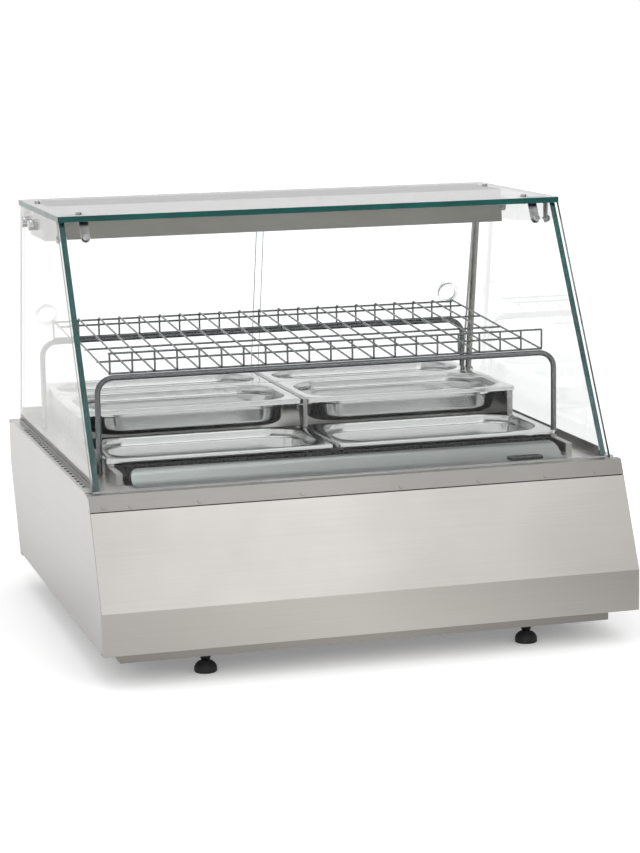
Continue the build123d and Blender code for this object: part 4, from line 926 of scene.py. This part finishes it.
def make_floor():
    """White floor that mirrors into the steel with its own tones."""
    reach = FLOOR_REACH
    material, surface = new_material("floor", FLOOR_WHITE, 0.0, 1.0)
    surface.inputs["Specular IOR Level"].default_value = 0.0
    glow(surface, FLOOR_GLOW)
    tree = material.node_tree
    tone = place_group(tree, tone_group(), Dark=(*FLOOR_WHITE, 1))
    tree.links.new(mirror_mask(tree), tone.inputs["Mask"])
    tree.links.new(floor_reflection(tree), tone.inputs["Light"])
    tree.links.new(tone.outputs["Color"], surface.inputs["Base Color"])
    corners = [(-reach, -reach, 0), (reach, -reach, 0), (reach, reach, 0), (-reach, reach, 0)]
    stage_sheet("floor", corners, material)


def make_cards():
    """A dark card at the right and a white one behind, for the steel and the glass to mirror."""
    dark = new_material("dark_card", DARK_CARD_GREY, 0.0, 1.0)[0]
    stage_sheet("dark_card", DARK_CARD, dark, "diffuse", "transmission", "shadow")
    white, surface = new_material("white_card", WHITE_CARD_GREY, 0.0, 1.0)
    glow(surface, WHITE_CARD_GLOW)
    stage_sheet("white_card", WHITE_CARD, white, "camera", "diffuse", "transmission", "shadow")


def make_world(scene):
    """White surroundings, dimmer for rays mirrored off a surface."""
    world = bpy.data.worlds.new("studio")
    world.use_nodes = True
    scene.world = world
    nodes, links = world.node_tree.nodes, world.node_tree.links
    background = nodes["Background"]
    background.inputs["Color"].default_value = (1, 1, 1, 1)
    glossy = nodes.new("ShaderNodeMapRange")
    glossy.inputs["To Min"].default_value = 1.0
    glossy.inputs["To Max"].default_value = GLOSSY_WORLD
    links.new(mirror_mask(world.node_tree), glossy.inputs["Value"])
    links.new(glossy.outputs["Result"], background.inputs["Strength"])


class CASE_OT_stage(bpy.types.Operator):
    """Set the camera, the pale floor and the soft studio light"""
    bl_idname = "case.stage"
    bl_label = "Stage"

    def execute(self, context):
        scene = context.scene
        place_camera(scene)
        scene.view_settings.view_transform = "Standard"
        make_floor()
        make_cards()
        make_world(scene)
        for name, place, target, size, power in SOFTBOXES:
            area_light(name, place, target, size, power)
        return {"FINISHED"}


class CASE_PT_panel(bpy.types.Panel):
    """Lists the case's steps and sizes"""
    bl_idname = "CASE_PT_panel"
    bl_label = "Display Case"
    bl_space_type = "VIEW_3D"
    bl_region_type = "UI"
    bl_category = "Display Case"

    def draw(self, context):
        for group in (context.scene.case_sizes, context.scene.case_finish):
            for name in group.bl_rna.properties.keys():
                if name not in ("rna_type", "name"):
                    self.layout.prop(group, name)
        for operator in STEPS:
            self.layout.operator(operator.bl_idname)


STEPS = (CASE_OT_stage, CASE_OT_casing, CASE_OT_rails, CASE_OT_glass, CASE_OT_pans, CASE_OT_shade_ribs,
         CASE_OT_shelf, CASE_OT_lamp, CASE_OT_feet, CASE_OT_cooling)
CLASSES = (CaseFinish, CaseSizes, *STEPS, CASE_PT_panel)


def register():
    for cls in CLASSES:
        bpy.utils.register_class(cls)
    bpy.types.Scene.case_finish = bpy.props.PointerProperty(type=CaseFinish)
    bpy.types.Scene.case_sizes = bpy.props.PointerProperty(type=CaseSizes)


def unregister():
    del bpy.types.Scene.case_finish
    del bpy.types.Scene.case_sizes
    for cls in reversed(CLASSES):
        bpy.utils.unregister_class(cls)


def main():
    register()
    for operator in STEPS:
        category, name = operator.bl_idname.split(".")
        getattr(getattr(bpy.ops, category), name)()


if __name__ == "__main__":
    main()
